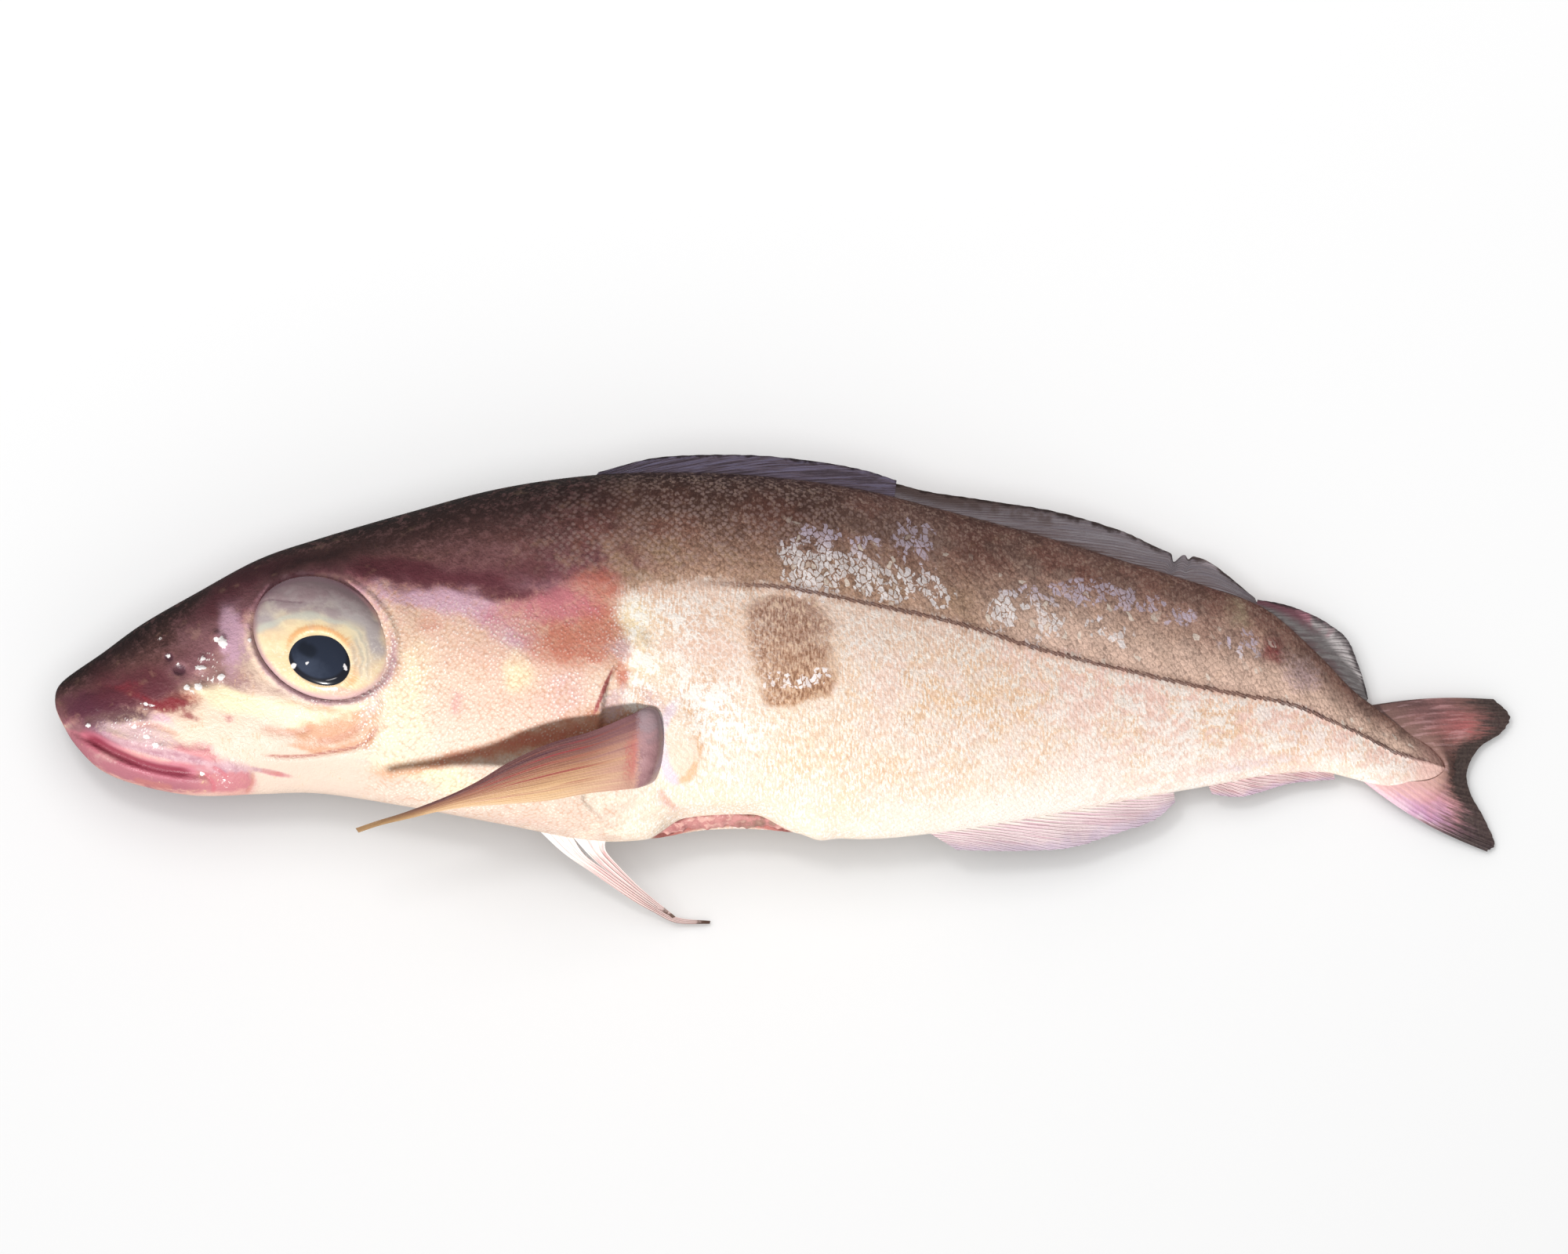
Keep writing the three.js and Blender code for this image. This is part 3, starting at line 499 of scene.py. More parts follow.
behind_pad = x - PAD_AT[0]
pad_left = hump(oval(x, y, PAD_AT, (5.2, 10.4)) - 1, 0.24) * smooth(-behind_pad, -2, 3)
pad_right = hump(oval(x, y, PAD_AT, (5, 10.2)) - 1, 0.14) * smooth(behind_pad, -3, 2)
mouth_x = np.linspace(4, 43, 12)
mouth = near(x, y, list(zip(mouth_x, level(MOUTH_LINE, mouth_x))), 2.2)
lip_ends = [near(x, y, FOLDS[name][0], 0.8) for name in ("lip lobe", "top of the flap")]
creases = [near(x, y, line, half * 0.8) for line, half, depth in FOLDS.values() if depth < -0.3]
record(
    skin.data,
    height=height,
    length=x / FISH_LENGTH,
    off_line=off_line,
    scales=np.stack([x, arc, np.zeros(len(x))], 1),
    pad_left=pad_left * (side > 0),
    pad_right=pad_right * (side > 0),
    under_mouth=level(MOUTH_LINE, x) - y,
    fold_line=near(x, y, FOLDS["below the eye"][0], 0.5),
    lid=hump(oval(x, y, EYE_AT, EYE_RADII, EYE_TURN) - 1.07, 0.075) * (0.45 + 0.55 * smooth(20 - y, 0, 14)),
    tail_end=smooth(x, 366, 383),
    cleft=np.maximum(mouth, 0.5 * np.maximum(*lip_ends)),
    crease=np.maximum.reduce(creases),
    gut=hump(np.sin(angle) * 30, 3.5) * (np.cos(angle) < 0) * within(x, 164, 203, 3),
    **{name: stain(x, y, spots, soft=True) for name, spots in WASHES.items()},
    **{name: stain(x, y, spots) for name, spots in MARKS.items()},
)


EXPOSURE = (0.7, 0.68, 0.66)  # the share of each colour that is kept, because the lamps brighten the fish


def tone(red, green, blue):
    """A colour as the eye sees it on the lit fish, as the share of light that it gives back."""
    lit = [((c / 255 + 0.055) / 1.055) ** 2.4 if c > 10 else c / 3295 for c in (red, green, blue)]
    return (*(share * light for share, light in zip(EXPOSURE, lit)), 1)


class Wire:
    """A node's output. Arithmetic on it adds Math nodes to the material that is being made."""

    tree = None

    def __init__(self, socket):
        self.socket = socket

    @classmethod
    def add(cls, kind, settings=None, inputs=None, output=0):
        """Adds a node with its settings and what its sockets get, and gives back one of its outputs."""
        node = cls.tree.nodes.new("ShaderNode" + kind)
        for name, value in (settings or {}).items():
            if name == "stops":
                stops = node.color_ramp.elements
                stops.remove(stops[1])
                stops[0].position, stops[0].color = value[0]
                for place, colour in value[1:]:
                    stops.new(place).color = colour
            else:
                setattr(node, name, value)
        for name, value in (inputs or {}).items():
            if isinstance(value, Wire):
                cls.tree.links.new(value.socket, node.inputs[name])
            else:
                node.inputs[name].default_value = value
        return cls(node.outputs[output]) if node.outputs else None

    def math(self, operation, other=None, turned=False):
        terms = (other, self) if turned else (self, other)
        inputs = {i: term for i, term in enumerate(terms) if term is not None}
        return Wire.add("Math", {"operation": operation}, inputs)

    def __add__(self, other):
        return self.math("ADD", other)

    __radd__ = __add__

    def __sub__(self, other):
        return self.math("SUBTRACT", other)

    def __rsub__(self, other):
        return self.math("SUBTRACT", other, turned=True)

    def __mul__(self, other):
        return self.math("MULTIPLY", other)

    __rmul__ = __mul__


def kept(name, output="Fac"):
    """What a piece's vertices keep under a name."""
    return Wire.add("Attribute", {"attribute_name": name}, output=output)


def rise(value, low, high):
    """0 below low, 1 above high and smooth between."""
    settings = {"interpolation_type": "SMOOTHSTEP"}
    return Wire.add("MapRange", settings, {"Value": value, "From Min": low, "From Max": high})


def mix(share, first, second):
    """The first colour where the share is 0, and the second where it is 1."""
    return Wire.add("Mix", {"data_type": "RGBA"}, {0: share, 6: first, 7: second}, 2)


def covered(colour, cover, red, green, blue):
    """A colour with another one laid over it."""
    return mix(cover, colour, tone(red, green, blue))


def coated(colour, *coats):
    """A colour with several laid over it in turn: how far each one covers, and its red, green and blue."""
    for coat in coats:
        colour = covered(colour, *coat)
    return colour


def grain(where, period, detail=3.0, rough=0.55, warp=0.0, unit=1.0):
    """Noise from 0 to 1, whose patches are a period across."""
    scale = unit / period
    inputs = {"Vector": where, "Scale": scale, "Detail": detail, "Roughness": rough, "Distortion": warp}
    return rise(Wire.add("TexNoise", {}, inputs), 0.3, 0.7)


def begin(name):
    """A new material, to which Wire adds its nodes from here on."""
    material = bpy.data.materials.new(name)
    material.use_nodes = True
    Wire.tree = material.node_tree
    Wire.tree.nodes.clear()
    return material


def wet(piece, material, colour, rough, height=None, depth=0.0, **surface):
    """Closes a material with a wet surface and gives it to a piece. depth is its relief in mm."""
    inputs = {"Base Color": colour, "Roughness": rough, "IOR": 1.38}
    inputs.update(
        {name.replace("_", " ").title().replace("Ior", "IOR"): value for name, value in surface.items()},
    )
    if height is not None:
        inputs["Normal"] = Wire.add(
            "Bump", {}, {"Height": height, "Distance": depth / 1000, "Strength": 1.0},
        )
    shader = Wire.add("BsdfPrincipled", {}, inputs)
    Wire.add("OutputMaterial", {}, {"Surface": shader})
    piece.data.materials.clear()
    piece.data.materials.append(material)


def ramp(value, stops):
    """A colour that runs through the stops as the value goes from 0 to 1."""
    return Wire.add(
        "ValToRGB", {"stops": [(place, tone(*colour)) for place, colour in stops]}, {"Fac": value},
    )


def tilted(where, degrees, size=(1, 1)):
    """Coordinates turned by an angle, in which a cell of a size is one across."""
    inputs = {"Vector": where, "Rotation": (0, 0, radians(degrees)), "Scale": (1 / size[0], 1 / size[1], 1)}
    return Wire.add("Mapping", {"vector_type": "POINT"}, inputs)


HOOK_PITCH = 2.3  # from one hook of the lateral line to the next

material = begin("scaled_skin")
place = Wire.add("TexCoord", output="Object")
girth = kept("scales", "Vector")
broad = grain(place, 38, 3, unit=1000)
cloud = grain(place, 15, 4, 0.6, unit=1000)
patch = grain(place, 6.5, 5, 0.62, unit=1000)
mottle = grain(place, 2.6, 4, 0.62, unit=1000)
fine = grain(place, 0.9, 3, 0.6, unit=1000)
dash = grain(tilted(girth, 12, (0.6, 2.2)), 1, 3, 0.55)
flat = {"voronoi_dimensions": "2D"}
edges = {**flat, "feature": "DISTANCE_TO_EDGE"}
cells = tilted(girth, 45)
small = {"Vector": cells, "Scale": 1 / 1.65, "Randomness": 0.55}
scale_rim = Wire.add("TexVoronoi", edges, small)
scale_dome = Wire.add("TexVoronoi", flat, small)
luck = Wire.add("SeparateColor", {}, {"Color": Wire.add("TexVoronoi", flat, small, "Color")}, "Red")
in_rim = rise(scale_rim, 0.16, 0.03)
beads = Wire.add("TexVoronoi", flat, {"Vector": cells, "Scale": 1 / 1.05, "Randomness": 0.8})
shift = Wire.add("TexNoise", {}, {"Vector": girth, "Scale": 0.5, "Detail": 2.0}, "Color")
shift = Wire.add("VectorMath", {"operation": "MULTIPLY"}, {0: shift, 1: (1.3, 1.3, 0)})
chips = Wire.add("VectorMath", {"operation": "ADD"}, {0: tilted(girth, 14, (1.4, 2.1)), 1: shift})
whole = {"Vector": chips, "Scale": 1.0, "Randomness": 1.0}
chip_edge = Wire.add("TexVoronoi", edges, whole)
chip_colour = Wire.add("TexVoronoi", flat, whole, "Color")
chip_luck = Wire.add("SeparateColor", {}, {"Color": chip_colour}, "Red")
second_luck = Wire.add("SeparateColor", {}, {"Color": chip_colour}, "Green")
length = kept("length")
height = kept("height") + (cloud - 0.5) * 0.08 + (patch - 0.5) * 0.06 + (mottle - 0.5) * 0.05
level_share = height * 0.5 + 0.5
head_tone = ramp(level_share, [
    (0.0, (216, 196, 182)), (0.12, (222, 202, 186)), (0.3, (236, 210, 190)), (0.4, (238, 212, 188)),
    (0.45, (224, 184, 168)), (0.49, (186, 134, 134)), (0.52, (148, 94, 102)), (0.57, (126, 80, 86)),
    (0.7, (118, 80, 78)), (0.85, (84, 58, 56)), (1.0, (46, 34, 33)),
])
shoulder_tone = ramp(level_share, [
    (0.0, (240, 222, 202)), (0.2, (244, 228, 210)), (0.38, (246, 228, 212)), (0.48, (244, 218, 202)),
    (0.5, (226, 190, 168)), (0.52, (200, 162, 138)), (0.6, (180, 142, 122)), (0.74, (160, 120, 104)),
    (0.88, (122, 84, 74)), (1.0, (62, 44, 40)),
])
tail_tone = ramp(level_share, [
    (0.0, (255, 249, 240)), (0.22, (254, 238, 226)), (0.4, (254, 226, 216)), (0.485, (255, 222, 212)),
    (0.51, (246, 212, 194)), (0.65, (242, 208, 190)), (0.8, (216, 178, 162)), (0.92, (190, 144, 130)),
    (1.0, (152, 108, 96)),
])
colour = mix(rise(length + (patch - 0.5) * 0.05, 0.35, 0.42), head_tone, shoulder_tone)
colour = mix(rise(length + (broad - 0.5) * 0.12, 0.5, 0.72), colour, tail_tone)
dark = rise(height, -0.03, 0.05)
pale = 1 - dark
behind_head = rise(length, 0.36, 0.43)
on_head = rise(length, 0.42, 0.36)

# The dark back is clouded with red-brown and olive, and its scales are a little lighter or darker each.
colour = coated(
    colour,
    (dark * rise(cloud, 0.3, 0.8) * kept("redder") * 0.7, 138, 82, 72),
    (dark * rise(patch * 0.5 + cloud * 0.5, 0.3, 0.7) * kept("olive") * 0.65, 172, 144, 112),
    (dark * rise(cloud, 0.62, 0.3) * behind_head * rise(height, 0.2, 0.5) * 0.35, 66, 44, 42),
)
grainy = fine * 0.4 + dash * 0.35 + luck * 0.25
colour = coated(
    colour,
    (dark * rise(grainy, 0.5, 0.8) * behind_head * 0.45, 220, 188, 172),
    (dark * rise(grainy, 0.48, 0.22) * behind_head * 0.4, 84, 54, 48),
    (dark * rise(mottle, 0.55, 0.95) * on_head * 0.25, 140, 96, 96),
)

# The pale flank is mottled with cream, tan, pink and upright white marks.
tan = kept("tan") * pale
colour = covered(
    colour, rise(patch * 0.45 + cloud * 0.35 + mottle * 0.2, 0.34, 0.62) * tan * 0.85, 242, 204, 166,
)
colour = covered(colour, rise(cloud, 0.5, 0.25) * tan * 0.5, 250, 218, 208)
marks = dash * 0.6 + mottle * 0.25 + fine * 0.15
on_flank = pale * behind_head
colour = coated(
    colour,
    (rise(marks, 0.5, 0.74) * on_flank * 0.7, 255, 252, 246),
    (rise(marks, 0.44, 0.24) * on_flank * rise(height, -0.95, -0.6) * 0.32, 214, 168, 136),
    (rise(patch * 0.6 + dash * 0.4, 0.62, 0.74) * on_flank * 0.7, 255, 251, 246),
)
on_rear = pale * rise(length, 0.62, 0.78)
colour = covered(colour, rise(patch * 0.6 + mottle * 0.4, 0.5, 0.25) * on_rear * 0.4, 240, 192, 180)
colour = covered(colour, rise(patch * 0.5 + mottle * 0.5, 0.5, 0.68) * on_rear * 0.7, 255, 250, 246)

# The head is grained with pale and dark purple. The washes follow, with how much each one covers.
colour = covered(colour, dark * rise(fine * 0.5 + mottle * 0.5, 0.52, 0.85) * on_head * 0.35, 156, 112, 112)
colour = covered(colour, dark * rise(fine * 0.6 + mottle * 0.4, 0.45, 0.15) * on_head * 0.35, 58, 36, 40)
WASH_TONES = {
    "dusk": (142, 100, 106, 0.85), "flush": (232, 190, 174, 0.8), "mauve": (84, 42, 58, 0.9),
    "lilac": (212, 172, 194, 0.85), "gold": (252, 236, 196, 0.75), "fawn": (204, 146, 110, 0.82),
    "peach": (202, 120, 100, 0.9), "rose": (204, 122, 134, 0.85), "wine": (94, 44, 54, 0.8),
    "bleed": (138, 38, 50, 0.8), "ink": (44, 30, 34, 0.7),
}
# Fawn and peach also lay painted shadow where the side fin's shadow falls on the cheek.
for i, (name, (*wash_tone, most)) in enumerate(WASH_TONES.items()):
    broken = (patch if i % 2 else cloud) * 0.3 + mottle * 0.45 + fine * 0.25 + 0.5
    colour = covered(colour, rise(kept(name) * broken, 0.08, 0.85) * most, *wash_tone)

# The lips: wine and pink inside, paler outside, mauve along the upper one.
under = kept("under_mouth") + (mottle - 0.5) * 0.8
inner_lip = mix(rise(length, 0.085, 0.115), tone(164, 92, 110), tone(192, 118, 128))
outer_lip = mix(rise(length + (patch - 0.5) * 0.02, 0.06, 0.11), tone(190, 140, 134), tone(222, 168, 162))
outer_lip = mix(mottle, outer_lip, tone(214, 166, 154))
lips = mix(rise(under + (length - 0.1) * 20, 6.2, 4.4), outer_lip, inner_lip)
upper_lip = mix(mottle, tone(176, 130, 146), tone(206, 172, 180))
upper_lip = mix(rise(length, 0.025, 0.055), tone(128, 78, 92), upper_lip)
lips = mix(rise(under, 0.2, -1.2), lips, upper_lip)
on_jaw = kept("jaw") + (patch - 0.5) * 0.25 + (mottle - 0.5) * 0.15
colour = mix(rise(on_jaw, 0.15, 0.9) * 0.92, colour, lips)

# The cream pad behind the side fin has a lilac edge in front and a golden one behind. The eyelid is mauve.
cream = mix(cloud, tone(242, 224, 206), tone(232, 206, 184))
colour = mix(rise(kept("cream") + (patch - 0.5) * 0.2, 0.1, 0.8) * 0.9, colour, cream)
colour = covered(colour, rise(kept("pad_left") + (patch - 0.5) * 0.4, 0.15, 0.7) * 0.9, 222, 208, 224)
colour = covered(colour, rise(kept("pad_right") + (patch - 0.5) * 0.6, 0.15, 0.8) * 0.85, 228, 184, 142)
lid = mix(patch, tone(160, 120, 136), tone(196, 158, 172))
colour = mix(rise(kept("lid") + (mottle - 0.5) * 0.3, 0.15, 0.95) * 0.8, colour, lid)

# The dark mark on the shoulder is broken up by the rows of scales.
thumb = rise(kept("thumbprint") + (patch - 0.5) * 0.5 + (marks - 0.5) * 0.9, 0.3, 0.75)
thumb = thumb * rise(kept("height"), 0.02, -0.06)
mark_tone = mix(rise(kept("height"), -0.5, -0.08), tone(190, 140, 102), tone(168, 128, 110))
colour = mix(thumb * 0.85, colour, mark_tone)
colour = covered(colour, thumb * rise(marks, 0.5, 0.25) * 0.75, 128, 86, 62)
colour = covered(colour, thumb * rise(marks, 0.52, 0.75) * 0.55, 240, 210, 180)

# Bright and dark grains: gold and white ones over the cheek, scales that have come off, rims that shine.
cheek = rise(length, 0.2, 0.23) * rise(length, 0.4, 0.385) * rise(height, 0.02, -0.12)
calm = 1 - (kept("peach") + kept("rose")).math("MINIMUM", 1) * 0.7
bead = rise(beads, 0.38, 0.12) * rise(fine * 0.3 + patch * 0.4 + mottle * 0.3, 0.35, 0.75) * calm
colour = covered(colour, cheek * bead * 0.6, 255, 250, 236)
bead_gap = rise(beads, 0.42, 0.62) * rise(mottle * 0.5 + patch * 0.5, 0.7, 0.35)
colour = coated(
    colour,
    (cheek * bead_gap * calm * 0.4, 204, 146, 110),
    # Pearly pale marks: the skin's own on the upper lip, painted sheen beside the eye.
    (rise(kept("pearl") * (fine * 0.7 + 0.6), 0.25, 0.9) * 0.7, 212, 182, 186),
    (rise(kept("blood") * (mottle * 0.6 + 0.6), 0.2, 0.85) * 0.85, 160, 40, 52),
    (rise(kept("nostril") + (mottle - 0.5) * 0.3, 0.25, 0.95) * 0.75, 72, 38, 54),
)
dots = kept("lattice") * dark * rise(scale_dome, 0.5, 0.2) * rise(luck * 0.6 + patch * 0.5, 0.3, 0.6)
colour = covered(colour, dots * 0.7, 178, 150, 146)
colour = covered(colour, in_rim * dark * behind_head * 0.22, 62, 42, 40)
bed = kept("flecks")
worn = bed * 0.95 + (mottle - 0.5) * 0.5 + (patch - 0.5) * 0.35
bare = rise(worn - chip_luck * 1.1, 0.0, 0.06) * rise(bed, 0.08, 0.3)
bare = bare * rise(chip_edge + (fine - 0.5) * 0.1, 0.05, 0.12)
colour = covered(colour, rise(bed, 0.3, 0.8) * rise(chip_edge, 0.1, 0.0) * 0.25, 96, 70, 62)
chip_tone = mix(rise(kept("height"), 0.55, 0.3), tone(222, 206, 226), tone(255, 250, 252))
colour = mix(bare * (second_luck * 0.35 + 0.65) * 0.97, colour, chip_tone)
stray = rise(chip_luck, 0.94, 0.97) * rise(chip_edge, 0.06, 0.16) * rise(length, 0.48, 0.52)
stray = stray * rise(height, 0.75, 0.5) * rise(height, -0.35, -0.1)
colour = covered(colour, stray * 0.75, 250, 238, 226)
colour = covered(
    colour, kept("rims") * pale * rise(scale_rim, 0.08, 0.26) * (patch * 0.5 + 0.3), 226, 192, 172,
)
rims = kept("rims") * pale * rise(scale_rim, 0.2, 0.06)
rims = rims * rise(fine * 0.4 + mottle * 0.3 + luck * 0.3, 0.35, 0.6)
colour = covered(colour, rims * 0.9, 255, 253, 250)
colour = covered(colour, on_flank * in_rim * 0.16, 196, 152, 128)

# The lateral line is a rope of little dark hooks, two strands of it.
hook = (length * (FISH_LENGTH / HOOK_PITCH) + patch * 1.2).math("FRACT") - 0.5
rope = (kept("off_line") + hook * 0.5 + (mottle - 0.5) * 0.35).math("ABSOLUTE")
strands = (rope - 0.28).math("ABSOLUTE")
strength = rise(length, 0.43, 0.51) * rise(length, 0.958, 0.945)
colour = covered(colour, rise(rope, 0.75, 0.35) * strength * 0.5, 124, 86, 76)
colour = covered(colour, rise(strands, 0.36, 0.08) * strength * (fine * 0.5 + 0.5), 78, 46, 46)
beside = rise(rope, 2.4, 0.7) * rise(length, 0.38, 0.46) * rise(length, 0.95, 0.75)
colour = covered(colour, beside * 0.3, 150, 112, 98)

# The folds of the head are drawn darker red-brown along their lines. The cleft of the mouth and the gutting
# slit are pink and red inside.
colour = covered(colour, rise(kept("crease"), 0.2, 0.9) * 0.4, 190, 124, 104)
colour = covered(colour, rise(kept("fold_line") * (fine * 0.5 + 0.75), 0.3, 0.9) * 0.75, 168, 104, 92)
cleft = kept("cleft")
colour = coated(
    colour,
    (rise(cleft, 0.1, 0.5) * 0.6, 196, 104, 124),
    (rise(cleft, 0.45, 0.9) * 0.9, 138, 50, 70),
    (rise(kept("gut"), 0.3, 0.8) * 0.9, 176, 90, 86),
)

# Towards its end the skin takes the colours of the tail fin's lobes.
ending = rise(kept("tail_end") + (patch - 0.5) * 0.2 + (marks - 0.5) * 0.15, 0.1, 0.95)
lobe_tone = mix(dark, tone(240, 198, 190), tone(152, 114, 108))
colour = mix(ending * 0.85, colour, lobe_tone)

# Painted highlights: white flakes of painted sheen on the shoulder, painted sparks on the head and a few
# large painted glints, where the wet slime would shine.
sparkle = kept("sparkle")
shine = sparkle * rise(length, 0.38, 0.4)
painted_sheen_flakes = rise(patch * 0.35 + mottle * 0.35 + dash * 0.3 + shine * 0.25, 0.6, 0.78)
colour = covered(colour, painted_sheen_flakes * shine * 0.85, 255, 254, 250)
spark = rise(beads, 0.34, 0.12) * rise(sparkle, 0.1, 0.5) * calm
spark = spark * rise(fine * 0.5 + mottle * 0.5 + sparkle * 0.6, 0.75, 0.95)
colour = covered(colour, spark * 0.85, 255, 252, 248)
glint = rise(kept("glint") + (fine - 0.5) * 0.4 + (mottle - 0.5) * 0.2, 0.35, 0.65)
colour = covered(colour, glint * 0.95, 255, 252, 252)
relief_map = scale_dome * -0.6 * rise(length, 0.2, 0.45) + beads * -0.5 * cheek + fine * 0.4 + mottle * 0.5
rough = 0.42 + (mottle - 0.5) * 0.16 + bare * 0.1
wet(skin, material, colour, rough, relief_map, 0.17, specular_ior_level=0.35)

# ---------------------------------------------------------------- the belly lining
# The slit that the fish was gutted through shows a fold of the pink lining of the belly wall, glossy and
# wet, with a grey-brown film at its rear end. It grows out of the slit's own walls.

LINING = {"from": 163.5, "to": 202.5, "columns": 110, "rows": 20}


def sheet(columns, rows):
    """A closed flat sheet, a unit across and a unit thick, to be laid out as a lining or a fin."""
    bm = bmesh.new()
    bmesh.ops.create_grid(bm, x_segments=columns, y_segments=rows, size=0.5)
    bmesh.ops.solidify(bm, geom=bm.faces[:], thickness=1)
    return bm


bm = sheet(LINING["columns"], LINING["rows"])
lining = shown(bm, "lining_of_belly", "flesh", "belly_lining")
across, over, layer = corners(lining.data)
u, v = across + 0.5, over + 0.5
x = LINING["from"] + (LINING["to"] - LINING["from"]) * u
back, belly, half, middle = frame_at(x)
swell = np.sin(pi * u) ** 0.6
wave = 0.5 * np.sin(x * 0.62) + 0.3 * np.sin(x * 1.7 + 1) + 0.25 * np.sin(x * 2.9 + v * 4)
y = belly + 0.9 + (0.4 + 3.6 * v) * swell + 0.6 * wave
z = middle + 1.0 + (4.4 * v - 2.2 + 1.1 * np.sin(pi * v)) * swell + 0.5 * wave * np.sin(pi * v)
lay(lining.data, x, np.where(layer < -0.5, y + 1.4, y), np.where(layer < -0.5, z - 0.8, z))
record(lining.data, film=smooth(u, 0.45, 0.8))
material = begin("belly_lining")
place = Wire.add("TexCoord", output="Object")
veins = grain(place, 4, 4, 0.6, unit=1000)
colour = mix(veins, tone(206, 148, 144), tone(180, 112, 112))
colour = covered(colour, rise(grain(place, 2, 4, unit=1000), 0.45, 0.9) * 0.6, 240, 196, 184)
colour = covered(colour, kept("film") * rise(veins, 0.3, 0.7) * 0.7, 140, 116, 100)
wet(lining, material, colour, 0.4, veins, 0.15, coat_weight=0.3, coat_roughness=0.15)

# ---------------------------------------------------------------- the eyes
# Each eye is a big glassy ball under clear skin, sunk in its socket, with a gold and cream iris drawn
# round a dark lens. The lens is a body of its own, set into the ball.

EYE_TILT = radians(7)
EYE_LIFT = {1: 4.2, -1: 3.0}  # how far each ball stands out of its cheek
EYE_FILL = 1.045  # how much wider the ball is than its socket
PUPIL_AT = (74.3, 9.4)
PUPIL_RADII = (8.8, 7.4, 1.7)
PUPIL_SUNK = 1.05
PUPIL_RING = (8.2, 6.8)
EYE_STEPS, LENS_STEPS = 128, 72
LENS_EGG = 0.04  # how far the lens is from round


def ball_on_cheek(name, slot, node, side, centre, radii, sink, detail, egg=0.0):
    """A ball lying on the slope of the cheek, and the places of its vertices."""
    bm = bmesh.new()
    bmesh.ops.create_uvsphere(bm, u_segments=detail, v_segments=detail // 2, radius=1)
    piece = shown(bm, name, slot, node)
    bx, by, bz = corners(piece.data)
    way = np.arctan2(by, bx)
    swell = 1 + egg * np.cos(3 * (way + 0.35)) * (1 - bz**2)
    bx, by, bz = bx * radii[0] * swell, by * radii[1] * swell, bz * radii[2]
    bx, by = bx * cos(EYE_TURN) - by * sin(EYE_TURN), bx * sin(EYE_TURN) + by * cos(EYE_TURN)
    tilt = -side * EYE_TILT
    by, bz = by * cos(tilt) - bz * sin(tilt), by * sin(tilt) + bz * cos(tilt)
    bx, bz = bx * cos(tilt) + bz * sin(tilt), bz * cos(tilt) - bx * sin(tilt)
    _, _, half, middle = frame_at(EYE_AT[0])
    cheek = middle + half if side > 0 else middle - half * LOWER_SHARE
    top = cheek + side * (EYE_LIFT[side] - sink)
    return piece, bx + centre[0], by + centre[1], bz + top


EYE_STAINS = {
    "veil": [
        (67, 29, 19, 8, -8, 1), (57.5, 20.5, 5, 4, -30, 0.7), (83.5, 23, 9, 5, -44, 1),
        (90, 14, 2.2, 6, 14, 0.8),
    ],
    "arc": [
        (66, 20.4, 6.4, 1, 10, 1), (75, 20.4, 6.4, 1, -14, 1), (82.8, 16.4, 4.6, 1, -46, 0.8),
        (58.4, 17.4, 3.4, 1.4, 34, 1),
    ],
    "striae": [(86.2, 10, 3.4, 6.4, 16, 1)],
    "edge": [(57, 8, 2.4, 8, 36, 0.7), (66, 0.6, 12, 1.6, -30, 0.7), (80, 0, 9, 1.8, 8, 0.7)],
}
# Painted highlights on the lens: white glints of light, as x, y, half lengths, turn and strength.
LENS_PAINTED_GLINTS = [
    (66.9, 7.2, 1.2, 0.8, 30, 1), (70.8, 8, 0.5, 0.5, 0, 1), (81.2, 6.8, 0.5, 1.3, 20, 1),
    (77.5, 3.6, 2.6, 0.4, 14, 0.5),
]
